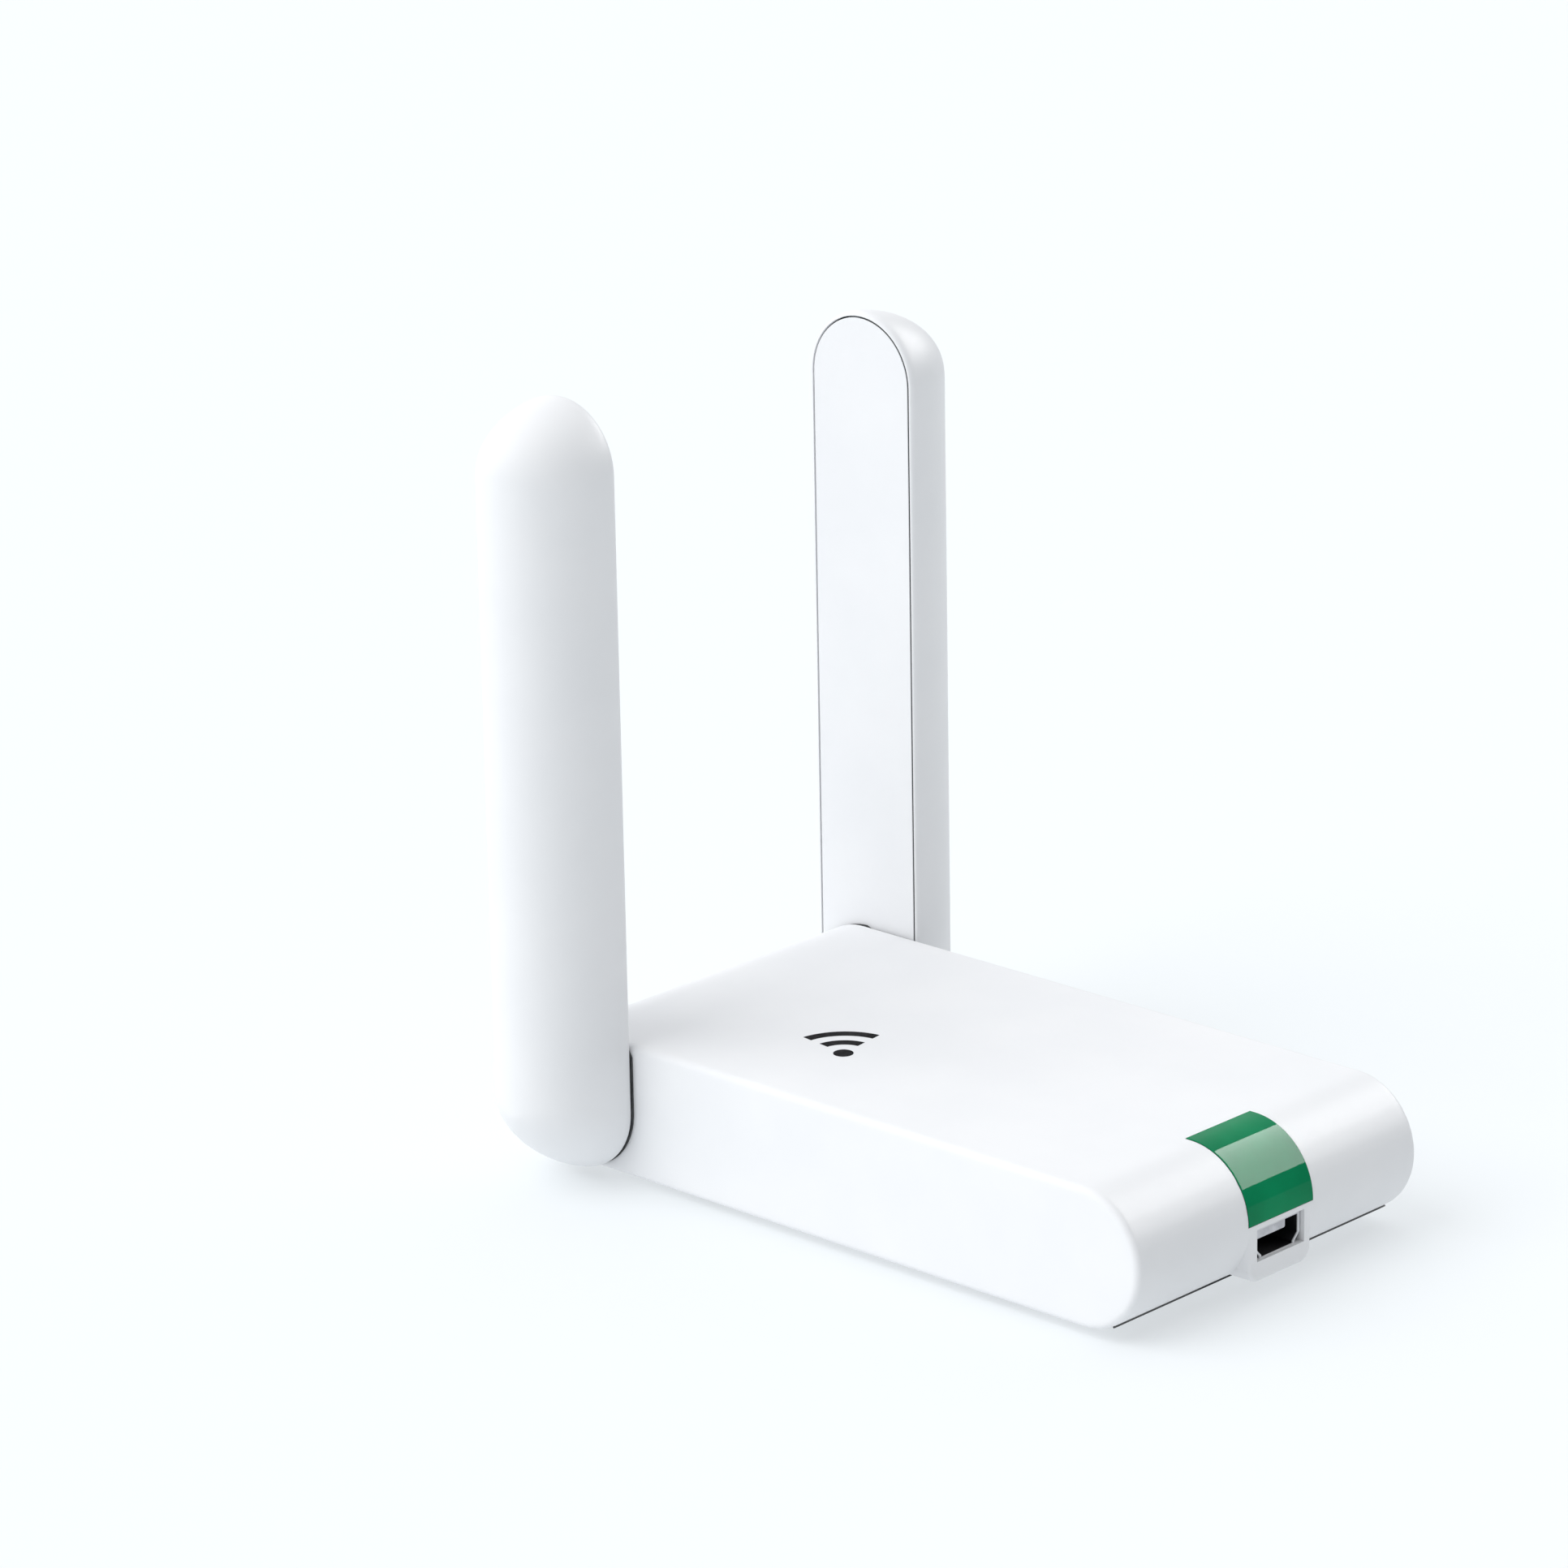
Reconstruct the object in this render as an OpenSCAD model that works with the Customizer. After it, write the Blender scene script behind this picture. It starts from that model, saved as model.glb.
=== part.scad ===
// Wireless network adapter with two fold-down aerials and a mini USB-B port.
// X runs across the body, the port faces -Y, and Z = 0 is the table under the feet.

/* [Body] */
// Width of the body between the aerials
body_w = 47.2; // [39:0.1:57]
// Length of the body from the nose to the rear
body_l = 90; // [75:0.5:108]
// Height of the body without its feet
body_h = 16; // [13.5:0.1:19.2]
// Wall of the top cover
wall = 1.6; // [1.3:0.1:2]
// Thickness of the bottom cover
bottom_t = 1.4; // [1.2:0.1:1.8]
// Gap all round the bottom cover
cover_gap = 0.1; // [0.05:0.01:0.2]
// Height of the seam above the underside of the body
seam_rise = 1.07; // [0.9:0.01:1.3]
// Width of the groove along the seam
seam_w = 0.14; // [0.1:0.01:0.25]

/* [Feet and case screws] */
// How far the feet hold the body off the table
foot_h = 1; // [0.6:0.1:1.6]
// Radius of a foot
foot_r = 4; // [3:0.1:5]
// Depth of the recess that a foot is glued into
foot_seat = 0.4; // [0.3:0.05:0.5]
// Distance from a screw to the side of the body
screw_inset_x = 7.6; // [6.5:0.1:9]
// Distance from the front screws to the nose
screw_inset_front = 21; // [19:0.5:24]
// Distance from the rear screws to the rear
screw_inset_rear = 25; // [20:0.5:27]
// Radius of a screw shank
screw_r = 1; // [0.8:0.05:1.2]
// Radius of a screw head
screw_head_r = 1.9; // [1.6:0.05:2.2]
// Height of a screw head
screw_head_h = 0.8; // [0.6:0.05:0.9]
// Length of a screw below its head
screw_l = 7.5; // [6:0.5:8]
// Radius of the post that a screw bites into
post_r = 2.5; // [2.2:0.1:3]

/* [Aerials] */
// Gap between the body and an aerial
aerial_gap = 0.3; // [0.2:0.05:0.6]
// Thickness of an aerial
aerial_t = 11; // [9:0.1:13]
// Upright edge of an aerial beside its inner face
aerial_land = 1.4; // [0.8:0.1:2]
// Length over which an end of an aerial thins out
aerial_taper = 12; // [9.5:0.5:15]
// Wall of an aerial shell
aerial_wall = 1.2; // [1:0.1:1.5]
// Thickness of the flat cover on the inner face
aerial_cover_t = 1.2; // [1:0.1:1.4]
// Rim of the shell that is left outside the flat cover
aerial_rim = 0.6; // [0.4:0.05:0.8]

/* [Hinges] */
// Outer radius of the hollow hinge tube
tube_r = 3.4; // [2.8:0.05:3.8]
// Radius of the bore that the aerial lead runs through
tube_bore_r = 2.2; // [1.6:0.05:2.4]
// Running clearance between the tube and the body
running_gap = 0.05; // [0.03:0.01:0.08]
// Radius of the flange that holds the tube in the aerial
tube_flange_r = 4.8; // [4.4:0.1:5.2]
// Thickness of that flange
tube_flange_t = 1; // [0.8:0.1:1.2]
// Thickness of the pad round the bore inside the body
hinge_pad_t = 0.8; // [0.5:0.1:1.2]
// Thickness of the friction washer
washer_t = 0.3; // [0.2:0.05:0.5]
// Thickness of the retaining ring
ring_t = 0.6; // [0.5:0.05:0.8]
// Depth of the groove that the retaining ring sits in
ring_groove = 0.4; // [0.3:0.05:0.5]

/* [USB port] */
// Width of the metal shell of the port
port_w = 7.7; // [7.5:0.05:7.9]
// Height of the metal shell of the port
port_h = 3.9; // [3.8:0.05:4]
// Length of the metal shell of the port
port_l = 9; // [8:0.1:10]
// Thickness of the sheet that the shell is folded from
port_sheet = 0.35; // [0.25:0.05:0.4]
// Clearance round the port in the top cover
port_clear = 0.15; // [0.1:0.05:0.25]
// How far the port sits behind the flat face of its surround
port_recess = 0.5; // [0.2:0.1:1]
// Width of the flat surround of the port
boss_w = 10.4; // [10:0.1:12]
// Radius of the lower corners of the surround
boss_corner_r = 1.6; // [1:0.1:2]

/* [Status window] */
// Width of the coloured window
window_w = 10.8; // [9:0.1:13]
// Flat length of the window on top of the body
window_flat = 0.8; // [0.4:0.1:2]
// Thickness of the window
window_t = 0.8; // [0.6:0.05:0.9]
// Gap round the window
window_gap = 0.08; // [0.05:0.01:0.15]
// Width of the light pipe behind the window
pipe_w = 3; // [2:0.1:4]
// Height of the part of the pipe that runs forward
pipe_h = 2; // [1.5:0.1:2.5]

/* [Circuit board] */
// Thickness of the circuit board
board_t = 1; // [0.8:0.1:1.2]
// Space under the circuit board
board_lift = 0.9; // [0.7:0.1:1.1]
// Gap between the board and the side walls
board_side_gap = 1.5; // [1:0.1:2.5]
// Distance from the board's rear edge to the centre of the hinges
board_rear_gap = 7; // [6.5:0.5:10]

/* [Pairing button] */
// Width of the button
button_w = 6; // [5:0.1:7]
// Height of the button
button_h = 3; // [2.4:0.1:3.4]
// Clearance round the button
button_gap = 0.2; // [0.15:0.05:0.3]
// Travel of the button
button_travel = 0.5; // [0.3:0.05:0.6]
// How far the button's face sits inside the end of the body
button_recess = 0.2; // [0.1:0.05:0.5]

/* [Hidden] */
$fn = 64;
tiny = 0.01;
// Height of the light pipe above the foot of the window, as a share of the end radius
pipe_rise = 0.29;
pipe_clear = 0.2;
// Gap round the board where it passes through the nose
board_clear = 0.2;
// Slack between parts that are laid on or beside each other
slack = 0.05;

// Body: a bar with round ends, seen from the side
end_r = body_h / 2;
mid_z = foot_h + end_r;
span = body_l - body_h;
nose_y = -span / 2;
hinge_y = span / 2;
side_x = body_w / 2;
inner_x = side_x - wall;
inner_r = end_r - wall;
top_z = foot_h + body_h;
ceiling_z = top_z - wall;
seam_z = foot_h + seam_rise;
floor_z = foot_h + bottom_t;
lid_x = inner_x - cover_gap;
lip_in = 1.6;
lip_y = span / 2 + lip_in;

// Hooks of the bottom cover, which start above the lip of the top cover
hook_w = 5;
hook_t = 1.6;
hook_out = 0.4;
hook_reach = lip_in + hook_out - cover_gap;
lip_rest = mid_z - sqrt(inner_r * inner_r - hook_reach * hook_reach) + 0.1;

// Rating label
label_w = 20;
label_l = 30;
label_seat = 0.2;
label_t = 0.15;

// Circuit board
board_z = floor_z + board_lift;
board_top = board_z + board_t;
board_x = inner_x - board_side_gap;
board_front = nose_y - 1;
board_rear = hinge_y - board_rear_gap;

// Port
port_mid_z = board_top + port_h / 2;
port_front = -body_l / 2 + port_recess;
port_rear = port_front + port_l;
port_step = port_h * 0.13;
port_taper_w = 0.85;
board_tongue_w = port_w + 1;
board_tongue_y = -body_l / 2 + 2.6;
boss_low = seam_z + seam_w / 2;

// Tongue and contacts, in the upper half of the port
tongue_w = 4.9;
tongue_t = 1;
tongue_low = port_mid_z + 0.15;
tongue_front = port_front + 0.9;
insulator_front = port_rear - 2.2;
contact_t = 0.12;
contact_w = 0.4;
contact_pitch = 0.8;

// Window
window_low = max(mid_z, port_mid_z + port_h / 2 + port_clear + 0.6);
window_rear = nose_y + window_flat;
pipe_z = min(window_low + pipe_rise * end_r, ceiling_z - pipe_h - pipe_clear);
led_y = port_rear + 2.2;
led_h = 0.7;

// Screws and feet
screw_x = side_x - screw_inset_x;
screw_front = -body_l / 2 + screw_inset_front;
screw_rear = body_l / 2 - screw_inset_rear;
SCREWS = [[-screw_x, screw_front], [screw_x, screw_front], [-screw_x, screw_rear], [screw_x, screw_rear]];
screw_top = foot_h + foot_seat + slack + screw_head_h;
screw_clear = 0.15;
// Gap left where a thread or a ring is drawn seated
thread_gap = 0.02;

// Power parts, in from the screw posts
power_x = min(9, screw_x - post_r - 2.5);

// Hinges, measured from the middle of the body outwards
pad_x = inner_x - hinge_pad_t;
washer_x = pad_x - slack - washer_t;
ring_x = washer_x - slack - ring_t;
tube_past_ring = 0.7;
tube_end = ring_x - tube_past_ring;
aerial_x = side_x + aerial_gap;
washer_r = tube_r + 1.6;
ring_r = tube_r + 1.2;
lead_r = 0.6;
lead_bend = 2;
lead_meet = pad_x - 0.3;

// Radiator board in an aerial
radiator_t = 0.8;
radiator_x = aerial_x + aerial_cover_t + 2.4;
radiator_w = 2 * (end_r - aerial_wall) - 4;
radiator_low = mid_z + 7;
radiator_l = span - 14;

// Parts on the board
shield_w = 23;
shield_l = 18;
shield_h = 2.4;
shield_y = -3;
sheet_t = 0.2;
socket_x = board_x - 9;
socket_y = board_rear - 6;
socket_h = 1.3;
plug_r = 1.3;
plug_h = 0.9;
socket_lead_z = board_top + socket_h + slack + plug_h / 2;

// Pairing button and its switch
button_face = body_l / 2 - button_recess;
flange_y = hinge_y + inner_r - 1.4;
flange_t = 0.7;
flange_lip = 0.7;
switch_front = hinge_y - 2.8;
switch_rear = hinge_y + 0.7;
switch_w = 6;
switch_h = 3.5;
plunger_z = board_top + 1.85;
plunger_w = 2.6;
plunger_h = 1.5;
plunger_out = 1.2;
stem_w = 2.4;

WHITE = "white";
STEEL = "silver";
BLACK = [0.12, 0.12, 0.13];
GREEN = [0.03, 0.5, 0.3];
CERAMIC = [0.75, 0.68, 0.55];

// A box between two corners
module block(low, high) {
    translate(low)
        cube([high[0] - low[0], high[1] - low[1], high[2] - low[2]]);
}

// A box centred in X and Y that stands on z
module slab(w, l, z, h) {
    block([-w / 2, -l / 2, z], [w / 2, l / 2, z + h]);
}

// Bar outline with round ends, lying along the first axis
module bar_outline(r, length) {
    for (end = [-1, 1])
        translate([end * length / 2, 0])
            circle(r);
    square([length, 2 * r], center = true);
}

// Bar with round ends along Y, between two places in X
module body_bar(r, x_low, x_high) {
    translate([x_low, 0, mid_z])
        rotate([90, 0, 90])
            linear_extrude(x_high - x_low)
                bar_outline(r, span);
}

// Places its children on the hinge axis, mirrored on the left
module at_hinge(side) {
    translate([0, hinge_y, mid_z])
        mirror([side < 0 ? 1 : 0, 0, 0])
            children();
}

// A round disc along X on the hinge axis
module disc(r, x_low, x_high) {
    translate([x_low, 0, 0])
        rotate([0, 90, 0])
            cylinder(r = r, h = x_high - x_low);
}

// A point on a smooth curve from a to d that leaves towards b and arrives from c
function on_curve(a, b, c, d, t) =
    pow(1 - t, 3) * a + 3 * t * pow(1 - t, 2) * b + 3 * t * t * (1 - t) * c + pow(t, 3) * d;

// A round lead swept along points that never run straight up
module swept_lead(points, r) {
    sides = 8;
    last = len(points) - 1;
    rings = [for (i = [0:last])
        let (ahead = points[min(i + 1, last)] - points[max(i - 1, 0)],
            along = ahead / norm(ahead),
            across = cross([0, 0, 1], along) / norm(cross([0, 0, 1], along)),
            up = cross(along, across))
        for (k = [0:sides - 1])
            points[i] + r * (cos(360 * k / sides) * across + sin(360 * k / sides) * up)];
    walls = [for (i = [0:last - 1], k = [0:sides - 1])
        let (next = (k + 1) % sides)
        [i * sides + k, (i + 1) * sides + k, (i + 1) * sides + next, i * sides + next]];
    near_cap = [for (k = [0:sides - 1]) k];
    far_cap = [for (k = [sides - 1:-1:0]) last * sides + k];
    polyhedron(rings, concat(walls, [near_cap, far_cap]));
}

// The bar outline standing on end, for an aerial
module aerial_outline(r) {
    rotate(90)
        translate([span / 2, 0])
            bar_outline(r, span);
}

// Flat plate of an aerial's outline, between two places in X
module aerial_plate(r, x_low, x_high) {
    translate([x_low, 0, 0])
        rotate([90, 0, 90])
            linear_extrude(x_high - x_low)
                aerial_outline(r);
}

// Depth of an aerial near its end: u runs from 1 at the end to 0 where it is full
function end_depth(u, t, edge) = edge + (t - edge) * pow(1 - pow(u, 1.5), 2 / 3);

// Domed bar of an aerial: flat inner face on x = 0, half an oval across, thin at both ends
module aerial_dome(r, t, land) {
    across = 28;
    along = 10;
    edge = 0.4;
    section = [for (i = [0:across]) [land + (t - land) * sin(180 * i / across), -r * cos(180 * i / across)]];
    low_end = [for (i = [0:along]) let (u = cos(90 * i / along))
        [end_depth(u, t, edge), -r + aerial_taper * (1 - u)]];
    high_end = [for (i = [along:-1:0]) [low_end[i][0], span - low_end[i][1]]];
    intersection() {
        aerial_plate(r, 0, t);
        translate([0, 0, -r])
            linear_extrude(span + 2 * r)
                polygon(concat([[0, -r]], section, [[0, r]]));
        translate([0, r, 0])
            rotate([90, 0, 0])
                linear_extrude(2 * r)
                    polygon(concat([[0, -r]], low_end, high_end, [[0, span + r]]));
    }
}

// Port outline in X and Z: full width on top, stepped in below
module port_outline(inset) {
    w = port_w / 2 - inset;
    narrow = w - port_taper_w;
    h = port_h / 2 - inset;
    polygon([[-w, h], [w, h], [w, -port_step], [narrow, -port_step - port_taper_w],
        [narrow, -h], [-narrow, -h], [-narrow, -port_step - port_taper_w], [-w, -port_step]]);
}

// An outline in X and Z, drawn from y_low to y_high
module along_y(y_low, y_high, z) {
    translate([0, y_high, z])
        rotate([90, 0, 0])
            linear_extrude(y_high - y_low)
                children();
}

// Outline of the flat port surround, with round lower corners
module boss_outline(low) {
    corner_x = boss_w / 2 - boss_corner_r;
    for (side = [-1, 1])
        translate([side * corner_x, low + boss_corner_r])
            circle(boss_corner_r);
    translate([-corner_x, low])
        square([2 * corner_x, boss_corner_r]);
    translate([-boss_w / 2, low + boss_corner_r])
        square([boss_w, mid_z - low - boss_corner_r]);
}

// Space that the window fills, grown by a gap
module window_space(t, gap) {
    intersection() {
        difference() {
            body_bar(end_r, -window_w / 2 - gap, window_w / 2 + gap);
            body_bar(end_r - t, -window_w / 2 - gap - 1, window_w / 2 + gap + 1);
        }
        block([-body_w, -body_l, window_low - gap], [body_w, window_rear + gap, top_z + 1]);
    }
}

module top_cover() color(WHITE) {
    difference() {
        union() {
            difference() {
                union() {
                    body_bar(end_r, -side_x, side_x);
                    along_y(-body_l / 2, nose_y, 0)
                        boss_outline(boss_low);
                }
                body_bar(inner_r, -inner_x, inner_x);
                // Open underside between the side walls
                block([-inner_x, -body_l, 0], [inner_x, body_l, seam_z + seam_w / 2]);
                block([-inner_x, -lip_y, 0], [inner_x, lip_y, mid_z]);
            }
            // Screw posts from the ceiling down to the board
            for (p = SCREWS)
                translate([p[0], p[1], board_top])
                    cylinder(r = post_r, h = ceiling_z - board_top + tiny);
            // Pads round the hinge bores, clear of the bottom cover
            for (side = [-1, 1])
                difference() {
                    at_hinge(side)
                        disc(washer_r + 0.4, pad_x, inner_x + tiny);
                    block([-body_w, -body_l, 0], [body_w, body_l, floor_z + cover_gap]);
                }
        }
        for (side = [-1, 1])
            at_hinge(side)
                disc(tube_r + running_gap, pad_x - 1, side_x + 1);
        for (p = SCREWS)
            translate([p[0], p[1], 0])
                cylinder(r = screw_r + thread_gap, h = screw_top + screw_l + 0.5);
        window_space(window_t + window_gap, window_gap);
        // Hole for the light pipe
        block([-pipe_w / 2 - pipe_clear, -body_l / 2, pipe_z - pipe_clear],
            [pipe_w / 2 + pipe_clear, nose_y, pipe_z + pipe_h + pipe_clear]);
        // Port opening and the pocket for the board's tongue
        block([-port_w / 2 - port_clear, -body_l, board_top - port_clear],
            [port_w / 2 + port_clear, port_rear, board_top + port_h + port_clear]);
        block([-board_tongue_w / 2 - board_clear, board_tongue_y - board_clear, board_z - board_clear],
            [board_tongue_w / 2 + board_clear, nose_y, board_top]);
        // Button opening
        along_y(hinge_y, body_l, mid_z)
            bar_outline(button_h / 2 + button_gap, button_w - button_h);
        // Seam groove across the ends of the side walls
        for (end = [-1, 1])
            translate([0, end * (span / 2 + 5), seam_z - seam_w / 2])
                slab(body_w + 1, 3.4, 0, seam_w);
    }
}

module bottom_cover() color(WHITE) {
    peg_top = board_z;
    difference() {
        union() {
            intersection() {
                body_bar(end_r, -lid_x, lid_x);
                block([-body_w, -body_l, 0], [body_w, body_l, seam_z - seam_w / 2]);
            }
            slab(2 * lid_x, 2 * (lip_y - cover_gap), foot_h, bottom_t);
            // Pegs that the board stands on, round the screws
            for (p = SCREWS)
                translate([p[0], p[1], foot_h])
                    cylinder(r = post_r + 0.6, h = peg_top - foot_h);
            // Hooks that catch behind the nose and the rear wall
            for (end = [-1, 1], side = [-1, 1])
                translate([side * lid_x * 0.55, end * (lip_y - cover_gap - 1), 0]) {
                    slab(hook_w, 2, foot_h, board_z - foot_h);
                    translate([0, end * (1 + hook_out - hook_t / 2), 0])
                        slab(hook_w, hook_t, lip_rest, board_z - lip_rest);
                }
        }
        for (p = SCREWS)
            translate([p[0], p[1], 0]) {
                cylinder(r = foot_r + cover_gap, h = foot_h + foot_seat);
                cylinder(r = screw_head_r + screw_clear, h = screw_top);
                cylinder(r = screw_r + screw_clear, h = board_z + 1);
            }
        slab(label_w + 0.3, label_l + 0.3, 0, foot_h + label_seat);
    }
}

module status_window() color(GREEN)
    window_space(window_t, 0);

module light_pipe() color([0.9, 0.95, 0.92]) {
    run_front = nose_y - sqrt(pow(end_r - window_t, 2) - pow(pipe_z + pipe_h - mid_z, 2)) + 0.25;
    block([-pipe_w / 2, run_front, pipe_z], [pipe_w / 2, led_y + 1, pipe_z + pipe_h]);
    block([-pipe_w / 2, led_y - 1, board_top + led_h + 0.1], [pipe_w / 2, led_y + 1, pipe_z + tiny]);
}

module rubber_feet() color([0.75, 0.76, 0.78])
    for (p = SCREWS)
        translate([p[0], p[1], 0])
            cylinder(r = foot_r, h = foot_h + foot_seat);

module case_screws() color(STEEL)
    for (p = SCREWS)
        translate([p[0], p[1], screw_top - screw_head_h])
            difference() {
                union() {
                    cylinder(r = screw_head_r, h = screw_head_h);
                    cylinder(r = screw_r, h = screw_head_h + screw_l);
                }
                // Cross recess
                for (turn = [0, 90])
                    rotate(turn)
                        slab(2, 0.45, -1, 1.4);
            }

module rating_label() color([0.86, 0.87, 0.88])
    slab(label_w, label_l, foot_h + label_seat - label_t - tiny, label_t);

module circuit_board() color([0.05, 0.35, 0.22])
    difference() {
        union() {
            block([-board_x, board_front, board_z], [board_x, board_rear, board_top]);
            block([-board_tongue_w / 2, board_tongue_y, board_z],
                [board_tongue_w / 2, board_front + 1, board_top]);
            block([-switch_w / 2 - 2, board_rear - 1, board_z], [switch_w / 2 + 2, switch_rear, board_top]);
        }
        for (p = SCREWS)
            translate([p[0], p[1], board_z - 1])
                cylinder(r = screw_r + screw_clear, h = board_t + 2);
    }

module usb_shell() color(STEEL)
    difference() {
        along_y(port_front, port_rear, port_mid_z)
            port_outline(0);
        along_y(port_front - 1, port_rear - port_sheet, port_mid_z)
            port_outline(port_sheet);
    }

module usb_insulator() color(BLACK) {
    fit = port_sheet + 0.03;
    along_y(insulator_front, port_rear - fit, port_mid_z)
        port_outline(fit);
    block([-tongue_w / 2, tongue_front, tongue_low],
        [tongue_w / 2, insulator_front + tiny, tongue_low + tongue_t]);
}

module usb_contacts() color("gold")
    for (i = [-2:2])
        translate([i * contact_pitch, 0, 0])
            block([-contact_w / 2, tongue_front + 0.3, tongue_low - contact_t],
                [contact_w / 2, insulator_front, tongue_low]);

module wifi_chip() color(BLACK)
    translate([-2, shield_y + 1, 0])
        slab(8, 8, board_top, 0.9);

module shield_frame() color(STEEL)
    translate([0, shield_y, 0])
        difference() {
            slab(shield_w, shield_l, board_top, shield_h - sheet_t);
            slab(shield_w - 2 * sheet_t, shield_l - 2 * sheet_t, board_top - 1, shield_h + 2);
        }

module shield_lid() color(STEEL)
    translate([0, shield_y, 0])
        slab(shield_w, shield_l, board_top + shield_h - sheet_t, sheet_t);

module clock_crystal() color("silver")
    translate([6.5, shield_y + 4, 0])
        slab(3.2, 2.5, board_top, 0.8);

module memory_chip() color(BLACK)
    translate([-shield_w / 2 - 2.5, shield_y, 0])
        slab(4, 5, board_top, 1.4);

module power_regulator() color(BLACK)
    translate([power_x, screw_front + 1, 0])
        slab(3, 3, board_top, 1.1);

module power_inductor() color([0.25, 0.25, 0.27])
    translate([-power_x, screw_front + 1, 0])
        slab(4, 4, board_top, 1.8);

// Ceramic capacitors in a row behind the port, and six round the chip
module capacitors() color(CERAMIC) {
    for (i = [-2:2])
        translate([i * 2.6, screw_front + 5, 0])
            slab(1.6, 0.8, board_top, 0.8);
    for (i = [0:5])
        translate([6.5 - i * 1.6, shield_y - 6, 0])
            slab(0.5, 1, board_top, 0.5);
}

module resistors() color(BLACK)
    for (side = [-1, 1], i = [0:3])
        translate([side * (board_x - 3), shield_y + 5 + i * 1.6, 0])
            slab(1, 0.5, board_top, 0.35);

module status_led() color([0.8, 0.95, 0.8])
    translate([0, led_y, 0])
        slab(1.6, 0.8, board_top, led_h);

module switch_case() color(BLACK)
    difference() {
        block([-switch_w / 2, switch_front, board_top], [switch_w / 2, switch_rear, board_top + switch_h]);
        block([-plunger_w / 2 - 0.1, switch_front + 1, plunger_z - plunger_h / 2 - 0.1],
            [plunger_w / 2 + 0.1, switch_rear + 1, plunger_z + plunger_h / 2 + 0.1]);
    }

module switch_plunger() color(WHITE)
    block([-plunger_w / 2, switch_front + 1.2 + button_travel, plunger_z - plunger_h / 2],
        [plunger_w / 2, switch_rear + plunger_out, plunger_z + plunger_h / 2]);

module pairing_button() color(WHITE) {
    along_y(flange_y, button_face, mid_z)
        bar_outline(button_h / 2, button_w - button_h);
    along_y(flange_y - flange_t, flange_y + tiny, mid_z)
        bar_outline(button_h / 2 + flange_lip, button_w - button_h);
    block([-stem_w / 2, switch_rear + plunger_out, plunger_z - plunger_h / 2],
        [stem_w / 2, flange_y - flange_t + tiny, mid_z]);
}

// Coaxial sockets on the board, each with its plug pressed on
module aerial_sockets() color("gold")
    for (side = [-1, 1])
        translate([side * socket_x, socket_y, 0]) {
            slab(2.6, 2.6, board_top, socket_h);
            translate([0, 0, board_top + socket_h])
                cylinder(r = plug_r, h = slack + plug_h);
        }

// Lead inside the body, from its plug to the hinge axis
module body_lead(side) color(BLACK) {
    steps = 14;
    start = [side * (socket_x + plug_r + tiny), socket_y, socket_lead_z];
    leave = start + [side * 7, 0, 0];
    end = [side * lead_meet, hinge_y, mid_z];
    arrive = end - [side * 9, 0, 0];
    swept_lead([for (i = [0:steps]) on_curve(start, leave, arrive, end, i / steps)], lead_r);
}

module left_lead() body_lead(-1);
module right_lead() body_lead(1);

// Lead inside an aerial, from the hinge axis up to the radiator
module radiator_lead(side) color(BLACK)
    at_hinge(side) {
        disc(lead_r, lead_meet + 0.1, radiator_x - lead_r - lead_bend);
        translate([radiator_x - lead_r - lead_bend, 0, lead_bend])
            rotate([90, 0, 0])
                rotate(-90)
                    rotate_extrude(angle = 90)
                        translate([lead_bend, 0])
                            circle(lead_r);
        translate([radiator_x - lead_r, 0, lead_bend])
            cylinder(r = lead_r, h = radiator_low - mid_z + 4 - lead_bend);
    }

module left_radiator_lead() radiator_lead(-1);
module right_radiator_lead() radiator_lead(1);

module radiator(side) color([0.05, 0.35, 0.22])
    at_hinge(side)
        block([radiator_x, -radiator_w / 2, radiator_low - mid_z],
            [radiator_x + radiator_t, radiator_w / 2, radiator_low - mid_z + radiator_l]);

module left_radiator() radiator(-1);
module right_radiator() radiator(1);

module aerial_shell(side) color(WHITE)
    at_hinge(side)
        translate([aerial_x, 0, 0])
            difference() {
                aerial_dome(end_r, aerial_t, aerial_land);
                intersection() {
                    aerial_dome(end_r - aerial_wall, aerial_t - aerial_wall, aerial_land);
                    aerial_plate(end_r - aerial_wall, aerial_cover_t, aerial_t);
                }
                aerial_plate(end_r - aerial_rim, -1, aerial_cover_t + tiny);
            }

module left_aerial_shell() aerial_shell(-1);
module right_aerial_shell() aerial_shell(1);

module aerial_cover(side) color(WHITE)
    at_hinge(side)
        difference() {
            aerial_plate(end_r - aerial_rim - cover_gap, aerial_x, aerial_x + aerial_cover_t);
            disc(tube_r, aerial_x - 1, aerial_x + aerial_cover_t + 1);
        }

module left_aerial_cover() aerial_cover(-1);
module right_aerial_cover() aerial_cover(1);

module hinge_tube(side) color(STEEL)
    at_hinge(side)
        difference() {
            union() {
                disc(tube_r, tube_end, aerial_x + aerial_cover_t);
                disc(tube_flange_r, aerial_x + aerial_cover_t, aerial_x + aerial_cover_t + tube_flange_t);
            }
            disc(tube_bore_r, tube_end - 1, aerial_x + aerial_t);
            difference() {
                disc(tube_r + 1, ring_x, ring_x + ring_t);
                disc(tube_r - ring_groove, ring_x - 1, ring_x + ring_t + 1);
            }
        }

module left_hinge_tube() hinge_tube(-1);
module right_hinge_tube() hinge_tube(1);

module friction_washer(side) color("goldenrod")
    at_hinge(side)
        difference() {
            disc(washer_r, washer_x, washer_x + washer_t);
            disc(tube_r + 0.1, washer_x - 1, washer_x + washer_t + 1);
        }

module left_friction_washer() friction_washer(-1);
module right_friction_washer() friction_washer(1);

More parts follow.
